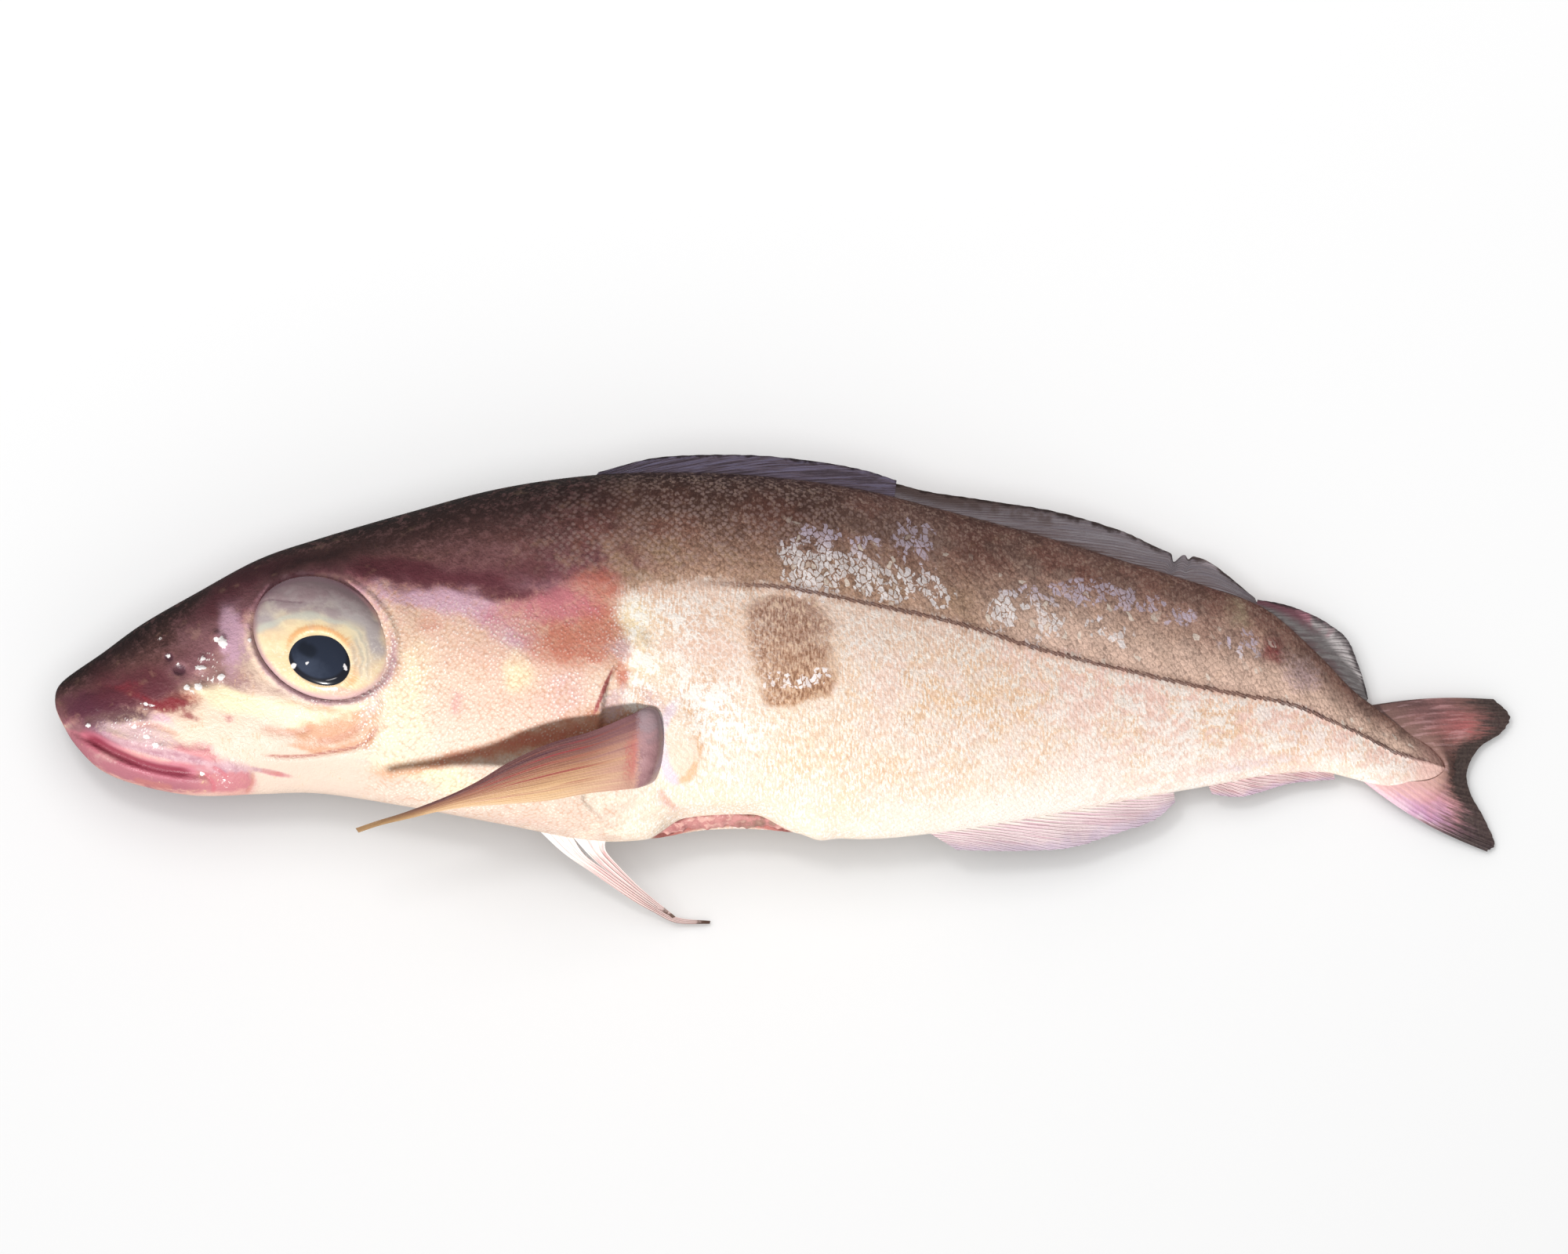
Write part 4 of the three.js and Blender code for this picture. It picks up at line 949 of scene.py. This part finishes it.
for side, name in ((1, "left"), (-1, "right")):
    radii = (EYE_RADII[0] * EYE_FILL, EYE_RADII[1] * EYE_FILL, EYE_RADII[2])
    eye, x, y, z = ball_on_cheek(
        f"eyeball_{name}", "iris", f"eye_{name}", side, EYE_AT, radii, EYE_RADII[2], EYE_STEPS,
    )
    dimple = 1 - smooth(oval(x, y, PUPIL_AT, (8.4, 7.0), EYE_TURN), 0.9, 1.12)
    wrinkle = near(x, y, [(56, 23.4), (60, 25.2), (66, 24.6), (76, 24.2)], 0.35)
    wrinkle = wrinkle * 0.8 + 0.35 * near(x, y, [(60, 21.8), (66, 22.7), (74, 22.6)], 0.35)
    front = side * (z - frame_at(EYE_AT[0])[3]) > 15
    z = z - side * np.where(front, 0.7 * dimple + 0.2 * wrinkle, 0)
    lay(eye.data, x, y, z)
    out = oval(x, y, EYE_AT, radii, EYE_TURN)
    from_pupil = oval(x, y, PUPIL_AT, PUPIL_RING, EYE_TURN)
    way = np.arctan2(y - PUPIL_AT[1], x - PUPIL_AT[0])
    amber_above = hump(from_pupil - 1.16, 0.13) * smooth(np.sin(way), -0.2, 0.7)
    amber_behind = 0.8 * hump(from_pupil - 1.3, 0.2) * smooth(np.cos(way + 0.2), 0.3, 1)
    record(
        eye.data, out=out, ring=from_pupil, wrinkle=wrinkle,
        amber=np.maximum(amber_above, amber_behind),
        spokes=np.stack([np.cos(way), np.sin(way), from_pupil * 0.05], 1),
        upward=(y - EYE_AT[1]) / EYE_RADII[1],
        **{stain_name: stain(x, y, spots, soft=True) for stain_name, spots in EYE_STAINS.items()},
    )
    material = begin(f"iris_{name}")
    place = Wire.add("TexCoord", output="Object")
    cloud = grain(place, 5, 4, 0.55, unit=1000)
    spokes = grain(kept("spokes", "Vector"), 0.03, 2, 0.6)
    speck = grain(place, 0.9, 3, unit=1000)
    colour = mix(cloud, tone(250, 236, 198), tone(246, 218, 176))
    colour = coated(
        colour,
        (rise(kept("ring") + (cloud - 0.5) * 0.3, 1.6, 1.05) * 0.35, 248, 214, 156),
        (rise(kept("amber") + (spokes - 0.5) * 0.3, 0.15, 1.0) * 0.8, 234, 170, 108),
        (spokes * rise(kept("upward"), 0.3, -0.6) * 0.3, 226, 174, 144),
    )
    bands = (kept("ring") * 7 + (cloud - 0.5) * 1.6).math("PINGPONG", 1.0)
    banded = mix(bands, tone(182, 186, 182), tone(242, 230, 206))
    colour = mix(rise(kept("striae"), 0.1, 0.8) * 0.6, colour, banded)
    veil_tone = mix(
        rise(kept("upward") + (cloud - 0.5) * 0.3, 0.2, 0.95), tone(190, 182, 186), tone(152, 128, 140),
    )
    colour = mix(rise(kept("veil") + (cloud - 0.5) * 0.25, 0.15, 0.85) * 0.92, colour, veil_tone)
    colour = coated(
        colour,
        (rise(kept("arc") + (cloud - 0.5) * 0.2, 0.2, 1.0) * 0.7, 208, 212, 200),
        (rise(kept("wrinkle"), 0.2, 0.9) * 0.6, 112, 78, 94),
        (rise(kept("edge"), 0.2, 0.9) * 0.65, 216, 156, 166),
        (rise(speck, 0.7, 0.95) * rise(kept("upward"), 0.2, -0.3) * 0.35, 255, 250, 236),
    )
    rim = mix(rise(kept("upward"), 0.3, -0.5), tone(160, 122, 136), tone(206, 170, 180))
    colour = mix(rise(kept("out"), 0.87, 0.98) * 0.8, colour, rim)
    wet(eye, material, colour, 0.25, cloud, 0.1, coat_weight=1.0, coat_roughness=0.03)

    lens, x, y, z = ball_on_cheek(
        f"lens_{name}", "pupil", f"pupil_{name}", side, PUPIL_AT, PUPIL_RADII, PUPIL_SUNK, LENS_STEPS,
        LENS_EGG,
    )
    lay(lens.data, x, y, z)
    record(
        lens.data,
        ring=oval(x, y, (PUPIL_AT[0] - 0.4, PUPIL_AT[1] + 1.2), PUPIL_RING, EYE_TURN),
        core=oval(x, y, (70.7, 11.6), (3.2, 2), EYE_TURN),
        haze=oval(x, y, (70.6, 7), (6, 3.6), EYE_TURN),
        glint=stain(x, y, LENS_PAINTED_GLINTS),
    )
    material = begin(f"lens_{name}")
    place = Wire.add("TexCoord", output="Object")
    smoke = grain(place, 3, unit=1000)
    colour = mix(
        rise(kept("haze") + (smoke - 0.5) * 0.4, 1.3, 0.2) * 0.6, tone(40, 48, 66), tone(70, 80, 100),
    )
    colour = coated(
        colour,
        (rise(kept("core") + (smoke - 0.5) * 0.3, 1.2, 0.5) * 0.8, 22, 28, 40),
        (rise(kept("ring"), 0.9, 1.02), 28, 30, 40),
        # painted glints
        (rise(kept("glint"), 0.3, 0.7), 250, 248, 250),
    )
    wet(lens, material, colour, 0.2, coat_weight=1.0, coat_roughness=0.02)

# ---------------------------------------------------------------- the fins of the back
# Three fins stand along the back, each a web of skin over soft rays that fan out from the root. The first
# is laid back on the body and the second is torn at its rear end.

FIN_STEPS = 8  # columns from one ray to the next


def fin(name, slot, node, root, edge, rays, rows=28, thick=1.3, thin=0.35, bows=((0, 0, 0), (0, 0, 0)),
        notch=0.05, fray=0.03, body=0.0, flesh=0.45, seed=1, tears=(), slant=0.0, ribbon=False, knob=None,
        ribs=0.4, dip=0.0):
    """A fin between its root and its free edge, thick at the root and thin at the edge.

    bows: how far its first and last rays bend out half way along.
    notch, fray: how far the web stops short between rays, and how ragged its edge is.
    tears: the middle, half width and depth of each tear, as shares of the fin.
    body, flesh: how fleshy its root is, and how far that reaches.
    slant: how many rays its rays lean back.
    ribbon: its root and edge are its two long sides instead.
    knob: how far the root swells out, up and down.
    ribs, dip: how thin the web is between rays, and how thin the root is inside.
    """
    columns = (rays - 1) * FIN_STEPS
    bm = sheet(columns, rows)
    piece = shown(bm, name, slot, node)
    across, over, layer = corners(piece.data)
    u, v = across + 0.5, over + 0.5
    random = np.random.default_rng(seed)
    ray = u * (rays - 1) - slant * v
    off_ray = np.abs(ray - np.rint(ray)) * 2
    reach = 1 - notch * off_ray**1.5
    ragged = np.interp(u, np.linspace(0, 1, rays * 3), random.random(rays * 3))
    reach -= fray * ragged
    for middle_u, half_u, depth in tears:
        reach -= depth * hump(u - middle_u, half_u)
    w = v * reach
    start, end = (curve(line, w if ribbon else u) for line in (root, edge))
    share = (u if ribbon else w)[:, None]
    bow = np.asarray(bows[0]) * (1 - u)[:, None] + np.asarray(bows[1]) * u[:, None]
    ripple = 0.2 * np.sin(u * 23 + seed) * smooth(v, 0, 0.6) * (not ribbon)
    place = start * (1 - share) + end * share + bow * np.sin(pi * w)[:, None]
    lens = np.sqrt(np.clip(1 - (2 * u - 1) ** 2, 0, 1))
    half = (thick + (thin - thick) * v) / 2 * (1 - ribs * off_ray * smooth(v, 0.1, 0.4))
    half = (half + body / 2 * lens * (1 - smooth(v, 0.0, flesh))) * (1 - dip * (1 - smooth(v, 0, 0.3)))
    if knob:
        out, up, down = knob
        place[:, 0] += out * lens * (1 - smooth(v, 0, 0.16))
        place[:, 2] += lens * (up * hump(v - 0.075, 0.06) - down * (1 - smooth(v, 0, 0.06)))
        half = half * np.sqrt(smooth(v, -0.01, 0.06))
    upper = np.where(layer < -0.5, -1, 1)
    lay(piece.data, place[:, 0], place[:, 1], np.maximum(place[:, 2] + ripple + upper * half, 0.05))
    piece.data.set_sharp_from_angle(angle=radians(60))
    record(
        piece.data, ray=ray, reach=v, share=u, streak=np.stack([ray * 0.9, v * 1.6, np.zeros(len(u))], 1),
    )
    return piece


def fin_finish(piece, name, root, web, ray, tip, streak, tip_from=0.7, sheen=None, streaks=0.5, lines=0.3,
               front=None):
    """Membrane and rays of a fin: colours of its root, web, rays, free edge, streaks, sheen and front."""
    material = begin(name)
    place = Wire.add("TexCoord", output="Object")
    cloud = grain(place, 4, 4, unit=1000)
    speck = grain(place, 0.8, 3, unit=1000)
    reach, rays = kept("reach"), kept("ray")
    on_ray = rise(rays.math("PINGPONG", 0.5), 0.3, 0.08)
    split = rise(rays.math("PINGPONG", 0.25), 0.16, 0.05) * rise(reach, 0.35, 0.6)
    line = on_ray.math("MAXIMUM", split * 0.8)
    stretched = grain(kept("streak", "Vector"), 0.7, 3, 0.6)
    hair = grain(kept("streak", "Vector"), 0.22, 2, 0.6)
    colour = mix(rise(reach + (stretched - 0.5) * 0.3, 0.04, 0.42), tone(*root), tone(*web))
    colour = covered(colour, line * (speck * 0.3 + lines), *ray)
    colour = covered(colour, rise(stretched, 0.5, 0.85) * streaks, *streak)
    if sheen:
        shining = rise(stretched * 0.6 + hair * 0.4, 0.55, 0.3) * rise(reach, 0.15, 0.5)
        colour = covered(colour, shining * 0.6, *sheen)
    colour = covered(colour, rise(hair, 0.6, 0.9) * 0.25, *ray)
    if front:
        leading = rise(kept("share") + (cloud - 0.5) * 0.2, 0.5, 0.25) * rise(reach, 0.35, 0.75)
        colour = covered(colour, leading * 0.85, *front)
    colour = covered(colour, rise(reach + (cloud - 0.5) * 0.16, tip_from, 1.0) * 0.9, *tip)
    wet(piece, material, colour, 0.4, line * 0.8 + speck * 0.3, 0.15, coat_weight=0.3, coat_roughness=0.12)


def on_edge(at, off, belly=False):
    """Places along the back, or the belly, sunk or raised by off."""
    at = np.asarray(at, float)
    back, low, _, middle = frame_at(at)
    return np.stack([at, low - off if belly else back + off, middle], 1)


def in_plane(points):
    """Places in the fish's mid-plane."""
    points = np.asarray(points, float)
    return np.column_stack([points, frame_at(points[:, 0])[3]])


SUNK = -2.0  # the roots start under the skin
first_dorsal = fin(
    "fin_dorsal_first", "dark_fin", "dorsal_fin_first",
    on_edge([147, 163, 179, 195, 210, 221, 230.5], SUNK),
    in_plane([(149.5, 60.4), (164, 64.2), (178, 65.2), (194, 65), (211, 63.2), (223, 60.9), (231.4, 58.2)]),
    20, rows=20, seed=3, slant=9.0, notch=0.01, fray=0.015,
)
fin_finish(
    first_dorsal, "first_dorsal", root=(112, 86, 86), web=(140, 122, 140), ray=(184, 170, 192),
    tip=(70, 56, 60), streak=(74, 62, 70), tip_from=0.88, sheen=(186, 180, 224), lines=0.15,
)
second_dorsal = fin(
    "fin_dorsal_second", "dark_fin", "dorsal_fin_second",
    on_edge([229.6, 245, 262, 280, 298, 315, 332.5], SUNK),
    in_plane([(230.4, 57.6), (240, 55.2), (257, 52.7), (276, 49.6), (293.5, 44.5), (306.5, 38.7),
              (317.6, 36.1), (330.6, 25.9)]),
    28, rows=28, seed=5, slant=11.0, notch=0.01, fray=0.02, tears=[(0.745, 0.012, 0.3), (0.79, 0.008, 0.12)],
)
fin_finish(
    second_dorsal, "second_dorsal", root=(140, 108, 98), web=(170, 150, 154), ray=(224, 216, 226),
    tip=(76, 58, 54), streak=(216, 210, 222), tip_from=0.84, sheen=(196, 190, 206), lines=0.2, streaks=0.7,
    front=(128, 104, 98),
)
third_dorsal = fin(
    "fin_dorsal_third", "dark_fin", "dorsal_fin_third",
    on_edge([330.5, 335, 341, 347, 352.5, 357.5, 361], SUNK),
    in_plane([(331.4, 25.4), (338, 24.3), (344.5, 22.2), (351, 18.9), (356.3, 14.6), (359.3, 8), (361.2, 2),
              (362.2, -2)]),
    20, rows=28, seed=7, slant=4.0, notch=0.01, fray=0.015,
)
fin_finish(
    third_dorsal, "third_dorsal", root=(160, 134, 138), web=(178, 172, 174), ray=(140, 130, 134),
    tip=(74, 66, 70), streak=(212, 208, 210), tip_from=0.8, lines=0.15, front=(176, 110, 128),
)

# ---------------------------------------------------------------- the fins of the belly
# Two anal fins run along the belly behind the vent, pale and pink, their rays laid back towards the tail.

first_anal = fin(
    "fin_anal_first", "pale_fin", "anal_fin_first",
    on_edge([238, 252, 266, 280, 294, 308], SUNK, belly=True),
    in_plane([(248.2, -43.7), (264.3, -44.1), (279.3, -43.3), (291.4, -39.6), (302.4, -35.8),
              (308.4, -30.8)]),
    22, rows=28, seed=11, slant=9.0, notch=0.015, fray=0.025,
)
fin_finish(
    first_anal, "first_anal", root=(254, 244, 234), web=(238, 212, 220), ray=(255, 246, 244),
    tip=(214, 196, 216), streak=(214, 168, 186), lines=0.35, tip_from=0.6,
)
second_anal = fin(
    "fin_anal_second", "pale_fin", "anal_fin_second",
    on_edge([317, 323, 330, 338, 346, 352], SUNK, belly=True),
    in_plane([(318.8, -28.5), (325.8, -29.3), (331.9, -28.1), (339.9, -25.7), (347, -24.9), (353, -24.5)]),
    16, rows=18, seed=13, slant=6.0, notch=0.015, fray=0.025,
)
fin_finish(
    second_anal, "second_anal", root=(254, 236, 226), web=(238, 206, 208), ray=(252, 236, 238),
    tip=(220, 192, 216), streak=(214, 150, 164), lines=0.3,
)

# ---------------------------------------------------------------- the tail fin
# The tail fin is forked, brown-pink above and lilac-pink below, with a dark rear margin.

tail = fin(
    "fin_tail", "dark_fin", "tail_fin",
    np.vstack([on_edge([361, 368, 375, 380], SUNK), [(383.4, -20.9, 5)],
               on_edge([380, 374, 366, 357], SUNK, belly=True)]),
    [(397.4, -2.2, 4), (401.8, -6.8, 3.4), (399.6, -11.4, 3.4), (393.2, -15.8, 3.8), (389.8, -22.3, 4),
     (391, -28.8, 3.6), (394.6, -35, 3), (397.7, -42.4, 2.2), (395.6, -44.6, 2.2)],
    23, rows=60, thick=1.8, thin=0.45, bows=((0, 1.2, 0), (-0.6, -2, 0)), notch=0.006, fray=0.01, body=6,
    flesh=0.6, seed=17, ribs=0.12, dip=0.34,
)
material = begin("tail")
place = Wire.add("TexCoord", output="Object")
share, reach = kept("share"), kept("reach")
streak = grain(kept("streak", "Vector"), 0.55, 4, 0.65)
cloud = grain(place, 5, 4, unit=1000)
speck = grain(place, 0.8, 3, unit=1000)
rays = rise(kept("ray").math("PINGPONG", 0.5), 0.36, 0.1)
forks = rise(kept("ray").math("PINGPONG", 0.25), 0.18, 0.04) * rise(reach, 0.3, 0.55)
colour = ramp(share + (cloud - 0.5) * 0.1, [
    (0.0, (124, 92, 92)), (0.12, (162, 116, 116)), (0.26, (188, 124, 122)), (0.4, (142, 108, 100)),
    (0.5, (124, 100, 92)), (0.6, (196, 148, 142)), (0.76, (222, 162, 174)), (0.9, (212, 162, 200)),
    (1.0, (232, 200, 220)),
])
root_tone = ramp(share + (cloud - 0.5) * 0.06, [
    (0.0, (130, 100, 96)), (0.3, (156, 120, 112)), (0.5, (152, 116, 108)), (0.6, (222, 176, 166)),
    (0.8, (240, 190, 188)), (1.0, (246, 200, 200)),
])
colour = mix(rise(reach + (streak - 0.5) * 0.2, 0.4, 0.06), colour, root_tone)
streaked = share + (streak - 0.5) * 0.1
red = rise(streaked, 0.04, 0.16) * rise(streaked, 0.36, 0.22) * rise(reach, 0.3, 0.6)
colour = covered(colour, red * 0.65, 188, 100, 102)
hair = grain(kept("streak", "Vector"), 0.2, 3, 0.6)
ribbed = (rays * 0.4 + forks * 0.3 + rise(hair, 0.5, 0.9)) * rise(reach, 0.2, 0.6)
colour = covered(colour, ribbed * 0.3, 124, 84, 84)
colour = covered(colour, rise(streak, 0.55, 0.85) * 0.25, 236, 196, 200)
middle = rise(share, 0.24, 0.46) * rise(share, 0.76, 0.54)
margin = reach + middle * 0.34 + rise(share, 0.66, 0.8) * 0.1 + (streak - 0.5) * 0.14 + (hair - 0.5) * 0.1
margin = rise(margin, 0.52, 0.96)
colour = covered(colour, rise(margin, 0.0, 0.4) * 0.5, 150, 106, 98)
colour = mix(rise(margin, 0.15, 1.0) * 0.94, colour, mix(speck, tone(58, 50, 50), tone(80, 70, 66)))
wet(
    tail, material, colour, 0.42, (rays + forks) * 0.3 + speck * 0.4, 0.1, coat_weight=0.2,
    coat_roughness=0.2,
)

# ---------------------------------------------------------------- the pectoral fins
# The left pectoral fin is flipped forward over the cheek on its fleshy base, its long rays drawn together
# to a point. The right one lies folded back under the fish.

left_pectoral = fin(
    "fin_pectoral_left", "amber_fin", "pectoral_fin_left",
    [(165.6, -3.8, 51.4), (163, -4, 53.6), (158, -6.4, 57), (148.5, -10.4, 59.6), (136.8, -13.8, 60.6),
     (126, -18.8, 60.8), (117.4, -24, 60.4), (109.2, -28, 59.8), (98.3, -32.2, 58.6), (90, -34.8, 57.8),
     (84.2, -36.8, 57)],
    [(163.6, -25, 46.5), (160.6, -26, 51), (156.4, -26.4, 54.6), (147, -27.4, 56.4), (137, -29.2, 57.4),
     (126, -30.2, 58), (115, -31, 58), (106.6, -32.3, 57.8), (98.6, -34.2, 57.4), (91, -36, 56.8),
     (85, -38, 56.2)],
    26, rows=110, thick=1.5, thin=0.5, notch=0, fray=0, body=3.4, flesh=0.3, seed=19, ribbon=True,
    knob=(4.2, 2.6, 2.6), ribs=0.1,
)
material = begin("left_pectoral")
place = Wire.add("TexCoord", output="Object")
share, reach = kept("share"), kept("reach")
streak = grain(kept("streak", "Vector"), 1.5, 4, 0.7)
hair = grain(kept("streak", "Vector"), 0.3, 3, 0.6)
speck = grain(place, 0.7, 3, unit=1000)
rays = rise((kept("ray") * 0.5 + streak * 1.6).math("PINGPONG", 0.5), 0.4, 0.05)
drift = share - reach * 0.22 + (streak - 0.5) * 0.34 + (hair - 0.5) * 0.1
blade = ramp(drift, [
    (0.0, (92, 58, 66)), (0.12, (124, 82, 80)), (0.26, (156, 108, 88)), (0.42, (188, 142, 110)),
    (0.66, (222, 182, 138)), (1.0, (240, 208, 172)),
])
colour = mix(rays * rise(share, 1.0, 0.1) * rise(reach, 0.12, 0.3) * 0.35, blade, tone(134, 88, 70))
colour = covered(
    colour, rise(hair, 0.55, 0.9) * rise(reach, 0.15, 0.3) * rise(share, 1.2, 0.3) * 0.5, 130, 84, 70,
)
red = rise(reach, 0.18, 0.34) * rise(reach, 0.72, 0.5)
colour = covered(colour, rise(streak, 0.58, 0.8) * red * rise(share, 1.2, 0.5) * 0.8, 154, 52, 64)
colour = covered(colour, rise(reach + share * 0.1, 0.72, 0.97) * 0.85, 176, 142, 100)
root_blush = mix(rise(share + (streak - 0.5) * 0.3, 0.1, 0.5), tone(150, 106, 110), tone(208, 160, 146))
colour = mix(rise(reach + (streak - 0.5) * 0.12, 0.36, 0.16) * 0.85, colour, root_blush)
blush = rise(reach, 0.12, 0.15) * rise(reach + (speck - 0.5) * 0.04, 0.21, 0.16)
blush = blush * rise(share, 0.15, 0.5) * rise(share, 1.0, 0.7)
colour = covered(colour, blush * 0.6, 206, 108, 106)
film = grain(place, 4, 2, 0.5, 0.6, unit=1000)
knob_tone = mix(film, tone(144, 104, 112), tone(176, 136, 142))
knob_tone = mix(rise(share + (film - 0.5) * 0.2, 0.6, 0.0) * 0.6, knob_tone, tone(190, 178, 186))
knob_tone = mix(rise(reach + (film - 0.5) * 0.03, 0.035, 0.0) * 0.8, knob_tone, tone(226, 212, 222))
colour = mix(
    rise(reach + (speck - 0.5) * 0.02 + (share - 0.5) * 0.03, 0.16, 0.11) * 0.92, colour, knob_tone,
)
ribbed = rays * rise(reach, 0.17, 0.3) * 0.2 + speck * 0.3
wet(left_pectoral, material, colour, 0.36, ribbed, 0.12, coat_weight=0.3, coat_roughness=0.12)
right_pectoral = fin(
    "fin_pectoral_right", "amber_fin", "pectoral_fin_right",
    [(156, -22, 4.4), (155.6, -26, 5.4), (156, -30, 7.4)],
    [(226, -29, 2.4), (225, -31, 2.4), (223, -33, 2.6)],
    10, rows=60, thick=1.6, thin=0.5, notch=0.03, seed=23,
)
fin_finish(
    right_pectoral, "right_pectoral", root=(206, 160, 168), web=(206, 164, 124), ray=(150, 104, 88),
    tip=(96, 70, 60), streak=(186, 92, 88),
)

# ---------------------------------------------------------------- the pelvic fins
# The two pelvic fins are long narrow ribbons under the throat, cream with a pink stripe between their
# rays and brown at the tips. They hang down to the counter side by side.

left_pelvic = fin(
    "fin_pelvic_left", "pale_fin", "pelvic_fin_left",
    [(142.4, -39.8, 27.4), (147, -45, 25), (152, -49.6, 21), (160.3, -56, 15), (169.6, -62.8, 8.6)],
    [(151.6, -40.2, 27.4), (151.4, -43.4, 25.4), (154.2, -47.2, 21.6), (161, -54.4, 15.4),
     (170.4, -62.4, 8.6)],
    4, rows=70, thick=1.6, thin=0.6, notch=0, fray=0, body=0.8, flesh=0.9, seed=29, ribbon=True,
)
right_pelvic = fin(
    "fin_pelvic_right", "pale_fin", "pelvic_fin_right",
    [(131.4, -36.6, 22.6), (139.5, -44.3, 20), (147.3, -49.9, 15.6), (158.1, -57.6, 9.4), (164.2, -61.2, 5.6),
     (170.6, -64.3, 3.2), (179.8, -64.6, 1.8)],
    [(142, -39.6, 22.6), (145.6, -45, 20), (152, -50, 15.6), (160.3, -56.3, 9.4), (165.4, -60, 5.6),
     (171.4, -62.9, 3.2), (180, -63.8, 1.8)],
    5, rows=80, thick=1.6, thin=0.6, notch=0, fray=0, body=0.8, flesh=0.9, seed=31, ribbon=True,
)
for piece, name in ((left_pelvic, "left_pelvic"), (right_pelvic, "right_pelvic")):
    fin_finish(
        piece, name, root=(253, 238, 230), web=(238, 196, 194), ray=(255, 248, 244), tip=(116, 86, 70),
        streak=(212, 140, 144), tip_from=0.93, lines=0.6, streaks=0.35,
    )

# ---------------------------------------------------------------- the floor, the light and the camera
# A pale floor lies under a soft even sky. A strong lamp stands low on the belly's side and lights the
# fish alone, a weak one lights both from the other side, and a wide one lights the floor. The camera
# looks straight down.

FLOOR_HALF, FLOOR_WHITE = 3, 0.88
SKY, SKY_OFF_GLOSS = 0.5, 0.35
CAMERA_AT = (-0.00033, 0.01766, 2.4194)
CAMERA_LENS, CAMERA_SENSOR = 200, 36

bm = bmesh.new()
bmesh.ops.create_grid(bm, x_segments=1, y_segments=1, size=FLOOR_HALF)
mesh = bpy.data.meshes.new("floor")
bm.to_mesh(mesh)
bm.free()
floor = bpy.data.objects.new("floor", mesh)
bpy.context.scene.collection.objects.link(floor)
floor.visible_glossy = False
floor_paint = begin("floor")
shader = Wire.add("BsdfPrincipled", {}, {"Base Color": (*[FLOOR_WHITE] * 3, 1), "Roughness": 0.9})
Wire.add("OutputMaterial", {}, {"Surface": shader})
mesh.materials.append(floor_paint)

world = bpy.data.worlds.new("sky")
bpy.context.scene.world = world
world.use_nodes = True
Wire.tree = world.node_tree
background = Wire.tree.nodes["Background"]
background.inputs["Color"].default_value = (1, 1, 1, 1)
in_gloss = Wire.add("LightPath", output="Is Glossy Ray")
Wire.tree.links.new((SKY - in_gloss * SKY_OFF_GLOSS).socket, background.inputs["Strength"])

# Each lamp's place, the width of its disk, its power, and what it lights.
for name, place, width, power, lit in (
    ("key", (-0.46, -0.79, 0.77), 0.12, 21, "fish"),
    ("window", (-0.24, 0.46, 1.5), 0.22, 3, "all"),
    ("floor_light", (-0.1, 0.3, 1.5), 1.8, 17, "floor"),
):
    lamp = bpy.data.lights.new(name, "AREA")
    lamp.shape, lamp.size, lamp.energy = "DISK", width, power
    stand = bpy.data.objects.new(name, lamp)
    stand.location = place
    stand.rotation_euler = mathutils.Vector(place).to_track_quat("Z", "Y").to_euler()
    stand.visible_glossy = lit == "fish"
    if lit != "all":
        group = bpy.data.collections.new(f"{name}_lights")
        group.objects.link(floor)
        group.collection_objects[0].light_linking.link_state = "EXCLUDE" if lit == "fish" else "INCLUDE"
        stand.light_linking.receiver_collection = group
    bpy.context.scene.collection.objects.link(stand)

camera = bpy.data.cameras.new("camera")
camera.lens, camera.sensor_width = CAMERA_LENS, CAMERA_SENSOR
camera_object = bpy.data.objects.new("camera", camera)
camera_object.location = CAMERA_AT
bpy.context.scene.collection.objects.link(camera_object)
bpy.context.scene.camera = camera_object
bpy.context.scene.view_settings.view_transform = "Standard"
